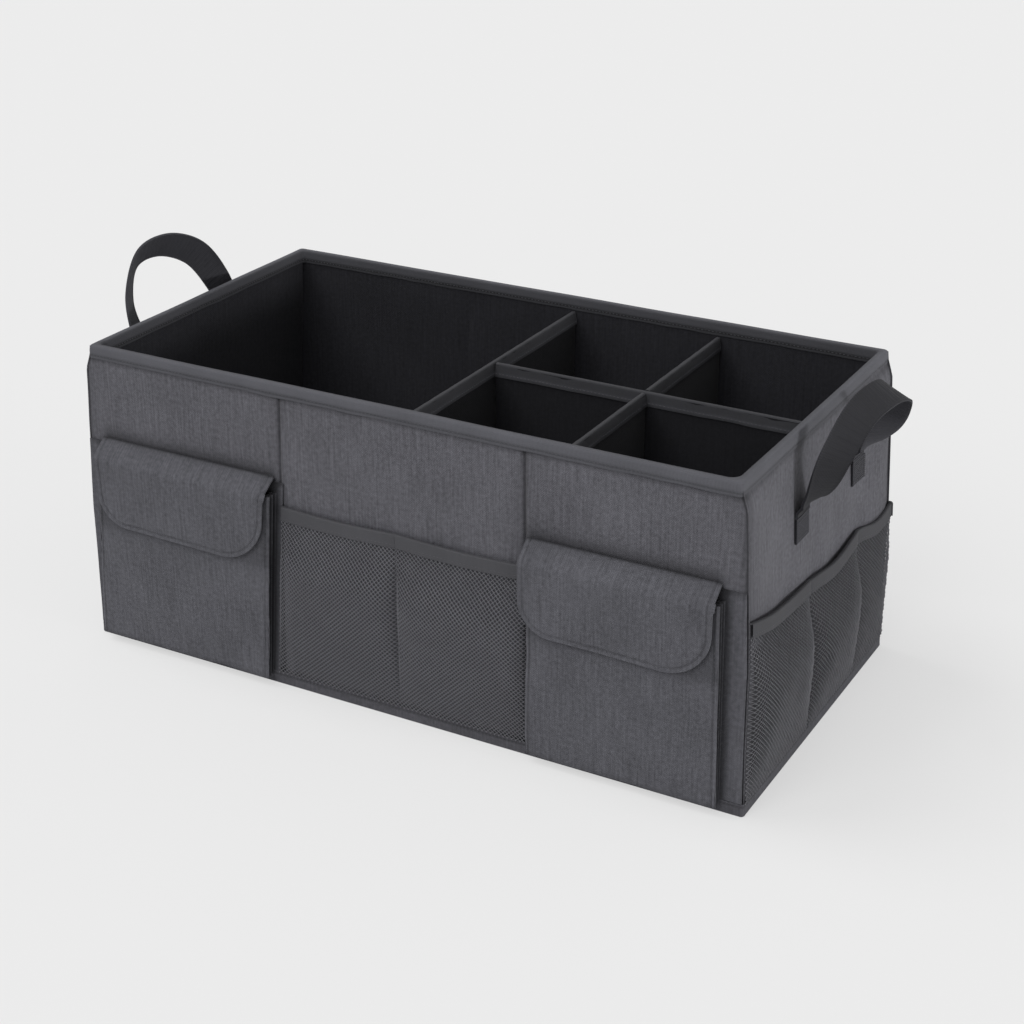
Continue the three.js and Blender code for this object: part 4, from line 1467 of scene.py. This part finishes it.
# %% Node tree for stitches
def stitch_tree():
    tree, start, end = node_tree("stitches", Pitch=3.3 * MM, Long=2.3 * MM, Radius=0.24 * MM)
    curve = chain(tree, "GeometryNodeMeshToCurve", Mesh=start.outputs["Geometry"])
    spaced = chain(tree, "GeometryNodeResampleCurve", Curve=curve.outputs["Curve"])
    spaced.mode = "LENGTH"
    tree.links.new(start.outputs["Pitch"], spaced.inputs["Length"])
    tangent = chain(tree, "GeometryNodeInputTangent")
    turn = chain(tree, "FunctionNodeAlignRotationToVector", Vector=tangent.outputs[0])
    turn.axis = "X"
    bead = chain(tree, "GeometryNodeMeshIcoSphere", Radius=0.5, Subdivisions=1)
    thick = chain(tree, "ShaderNodeMath")
    thick.operation = "MULTIPLY"
    tree.links.new(start.outputs["Radius"], thick.inputs[0])
    thick.inputs[1].default_value = 2.0
    size = chain(tree, "ShaderNodeCombineXYZ", X=start.outputs["Long"], Y=thick.outputs[0],
                 Z=thick.outputs[0])
    spread = chain(tree, "GeometryNodeInstanceOnPoints", Points=spaced.outputs["Curve"],
                   Instance=bead.outputs["Mesh"], Rotation=turn.outputs["Rotation"],
                   Scale=size.outputs["Vector"])
    return close_tree(tree, start, end, spread.outputs["Instances"])


stitch = stitch_tree()


def sew(name, lines, body, **values):
    piece = grow(lines_object(name, lines), stitch, Material=MATERIALS["thread"], **values)
    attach(piece, body)
    made.append((piece, None))
    print(name, len(lines), "seams", len(piece.data.polygons), "faces")
    return piece


# %% [markdown]
# Seams of the box itself: along the lower edge of the rim tape inside and outside, and
# one row in the hem.

# %% Seams of the box


def closed(points):
    return np.vstack([points, points[:1]])


SUNK = 0.40 * MM
stitch_z = RIM_LOW + STITCH_UP
outside = closed(outline(SUNK, stitch_z, OUTER_ROUND))
inner_inset = RIM_WIDTH - pinch(HEIGHT - stitch_z, RIM_WIDTH) - SUNK
inside = closed(outline(inner_inset, stitch_z, INNER_ROUND))
sew("rim_stitches", [outside, inside], "organizer")
sew("hem_stitches", [closed(outline(-0.02 * MM, HEM_STITCH, 3 * MM))], "organizer")

# %% [markdown]
# The tape of a divider is sewn through from one side to the other, so each has a row on
# both sides.

# %% Seams of the dividers
divider_lines = []
for name in ("main", "long", "front_short", "back_short"):
    low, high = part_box(name + "_divider_binding")
    axis, cross = (0, 1) if high.x - low.x > high.y - low.y else (1, 0)
    for edge, sign in ((low[cross], -1), (high[cross], 1)):
        ends = np.zeros((2, 3))
        ends[:, axis] = (low[axis] + 1 * MM, high[axis] - 2 * MM)
        ends[:, cross] = edge - sign * 0.1 * MM
        ends[:, 2] = low.z + STITCH_UP
        divider_lines.append(ends)
sew("divider_stitches", divider_lines, "organizer")

# %% [markdown]
# A pocket's face is sewn to its gusset by a row just inside its edge. The row is laid in
# the groove that the face already has there.

# %% Seams of the pockets
EDGE_ROW = 3 * MM
pocket_lines = []
for name, pocket in POCKETS.items():
    left, right_edge = pocket_edges(pocket)
    z = np.linspace(POCKET_LOW + EDGE_ROW, POCKET_MOUTH - 1 * MM, 60)
    for x in (left(z) + EDGE_ROW, right_edge(z) - EDGE_ROW):
        pocket_lines.append(front_place(x, z, pocket_depth(z) - 0.15 * MM))
    x = np.linspace(left(POCKET_LOW) + EDGE_ROW, right_edge(POCKET_LOW) - EDGE_ROW, 60)
    pocket_lines.append(front_place(x, POCKET_LOW + EDGE_ROW, POCKET_DEPTH[0] - 0.1 * MM))
sew("pocket_stitches", pocket_lines, "organizer")

# %% [markdown]
# The row on a flap runs down one side, round both corners and up the other side. It is
# worked out on the flat flap, and the flap's own function then bends it.

# %% Seams of the flaps
for name, pocket in POCKETS.items():
    wide = flap_width(pocket, FLAP_LOW)
    turns = np.linspace(0, math.pi / 2, 14)[1:]
    halves = []
    for corner in FLAP_CORNERS:
        radius = corner - STITCH_IN
        down = [(STITCH_IN, run) for run in np.linspace(4 * MM, FLAP_RUN - corner, 30)]
        bend = [(corner - radius * math.cos(a), FLAP_RUN - corner + radius * math.sin(a))
                for a in turns]
        halves.append(np.array(down + bend))
    halves[1] = halves[1][::-1]
    halves[1][:, 0] = wide - halves[1][:, 0]
    path = np.vstack(halves)
    share = path[:, 0] / wide
    line = flap_place(pocket, share, path[:, 1] + FLAP_SKEW * share, FLAP_THICK / 2 - 0.2 * MM)[1]
    sew(name + "_flap_stitches", [line], name + "_flap")

# %% [markdown]
# A net has a row along its tape, and one down each line where two pockets meet.

# %% Seams of the nets
net_seams = []
for name, net in NETS.items():
    half = NET_THICK / 2 + GAP + TAPE
    count = len(net["bulges"])
    share = np.linspace(0.002, count - 0.002, 90 * count)
    net_seams.append(net_point(net, share, net_top(net, share) - NET_TAPE + STITCH_UP, half))
    for k in range(1, count):
        z = np.linspace(NET_LOW, net["tops"][k] - 1 * MM, 50)
        net_seams.append(net_point(net, np.full(50, float(k)), z, 0.6 * MM))
sew("net_stitches", net_seams, "organizer")

# %% [markdown]
# A handle carries the whole load, so its ends are sewn with a square and a cross in it.

# %% Seams of the handles
handle_seams = []
half = WEB_WIDE / 2 - EDGE_ROW
z0, z1 = SEWN_LOW + EDGE_ROW, SEWN_LOW + SEWN_TALL - EDGE_ROW
for name, handle in HANDLES.items():
    for toward in (-1, 1):
        y0 = HANDLE_MIDDLE[name] + toward * LEG_SPAN / 2
        square = [(-half, z0), (half, z0), (half, z1), (-half, z1), (-half, z0), (half, z1)]
        points = np.array(square + [(half, z0), (-half, z1)])
        handle_seams.append(end_place(y0 + points[:, 0], points[:, 1], GAP + WEB_THICK,
                                      handle["side"]))
sew("handle_stitches", handle_seams, "organizer", Pitch=2.6 * MM, Long=2.0 * MM)

# %% [markdown]
# Each piece with a slot takes the material of that slot; nets and stitches keep the
# material their tree gave them. The boards inside the walls keep their imported shape and
# take the plain board finish, because cloth covers them on every side.

# %% Materials onto pieces
for piece, slot in made:
    if slot not in (None, "net"):
        piece.data.materials.clear()
        piece.data.materials.append(MATERIALS[slot])
boards = [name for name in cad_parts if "_board" in name]
for name in boards:
    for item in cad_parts[name].material_slots:
        item.link = "OBJECT"
        item.material = MATERIALS["board"]
print("boards", len(boards))

# %% [markdown]
# The floor and the world behind it. A photo like this one has an almost white background.
# Turning the lamps up for it would make the box too bright as well. So Light Path tells
# the camera's rays from the light's: what the camera sees is set apart from what lights
# the box. Part of the floor's colour glows and part is lit, so the shadow stays, faintly.

# %% Floor and world
FLOOR_LIGHT, FLOOR_SEEN, FLOOR_GLOW = 0.80, 0.25, 0.560
SKY_LIGHT, SKY_SEEN = 0.52, 0.83
WIDE, UNDER = 30, -0.0002
floor = new_object("floor", [(x, y, UNDER) for x, y in ((-WIDE, -WIDE), (WIDE, -WIDE),
                                                        (WIDE, WIDE), (-WIDE, WIDE))],
                   [(0, 1, 2, 3)])


def grey(level):
    return (level,) * 3


def seen_rays(nodes):
    """One for rays of the camera, of a reflection or through glass"""
    path = nodes.new("ShaderNodeLightPath")
    rays = [Value(nodes, path.outputs["Is %s Ray" % kind])
            for kind in ("Camera", "Glossy", "Transmission")]
    return rays[0] + rays[1] + rays[2]


floor_finish = Finish("floor")
seen = seen_rays(floor_finish.nodes)
floor_finish.feed("Base Color", floor_finish.blend(seen, grey(FLOOR_LIGHT), grey(FLOOR_SEEN)))
floor_finish.feed("Emission Color", floor_finish.blend(seen, grey(0), grey(FLOOR_GLOW)))
floor_finish.shader.inputs["Emission Strength"].default_value = 1.0
floor_finish.shader.inputs["Roughness"].default_value = 1.0
floor_finish.shader.inputs["Specular IOR Level"].default_value = 0.0
floor.data.materials.append(floor_finish.material)

world = bpy.data.worlds.new("studio")
world.use_nodes = True
sky = world.node_tree.nodes
sky_seen = sky.new("ShaderNodeMix")
sky_seen.data_type = "RGBA"
sky_seen.inputs[6].default_value = (*grey(SKY_LIGHT), 1)
sky_seen.inputs[7].default_value = (*grey(SKY_SEEN), 1)
world.node_tree.links.new(seen_rays(sky).socket, sky_seen.inputs[0])
world.node_tree.links.new(sky_seen.outputs[2], sky["Background"].inputs["Color"])
bpy.context.scene.world = world
print("floor and world ready")

# %% [markdown]
# The lamps. The photo was taken in an even light. A soft lamp from the upper left throws
# a faint shadow to the right, one from the front reaches the inside of the back wall,
# and a low one from the right lights the end but not the inside. All three are sun
# lamps, because they light a large floor evenly.

# %% Lamps


def sun(name, azimuth, elevation, share, wide):
    """A soft light from one side; azimuth turns from the front to the right end"""
    data = bpy.data.lights.new(name, "SUN")
    data.energy, data.angle = share * math.pi, math.radians(wide)
    light = bpy.data.objects.new(name, data)
    a, e = math.radians(azimuth), math.radians(elevation)
    source = Vector((math.sin(a) * math.cos(e), -math.cos(a) * math.cos(e), math.sin(e)))
    light.rotation_euler = source.to_track_quat("Z", "Y").to_euler()
    bpy.context.scene.collection.objects.link(light)


sun("key", -80, 58, 0.36, 30)
sun("front", -12, 42, 0.40, 40)
sun("low fill", 88, 2, 0.62, 12)
bpy.context.scene.view_settings.view_transform = "Standard"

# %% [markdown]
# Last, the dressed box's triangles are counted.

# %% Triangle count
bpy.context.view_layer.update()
triangles = {piece.name: sum(len(face.vertices) - 2 for face in piece.data.polygons)
             for piece, _ in made}
print("triangles", sum(triangles.values()), "largest", max(triangles.items(), key=lambda t: t[1]))
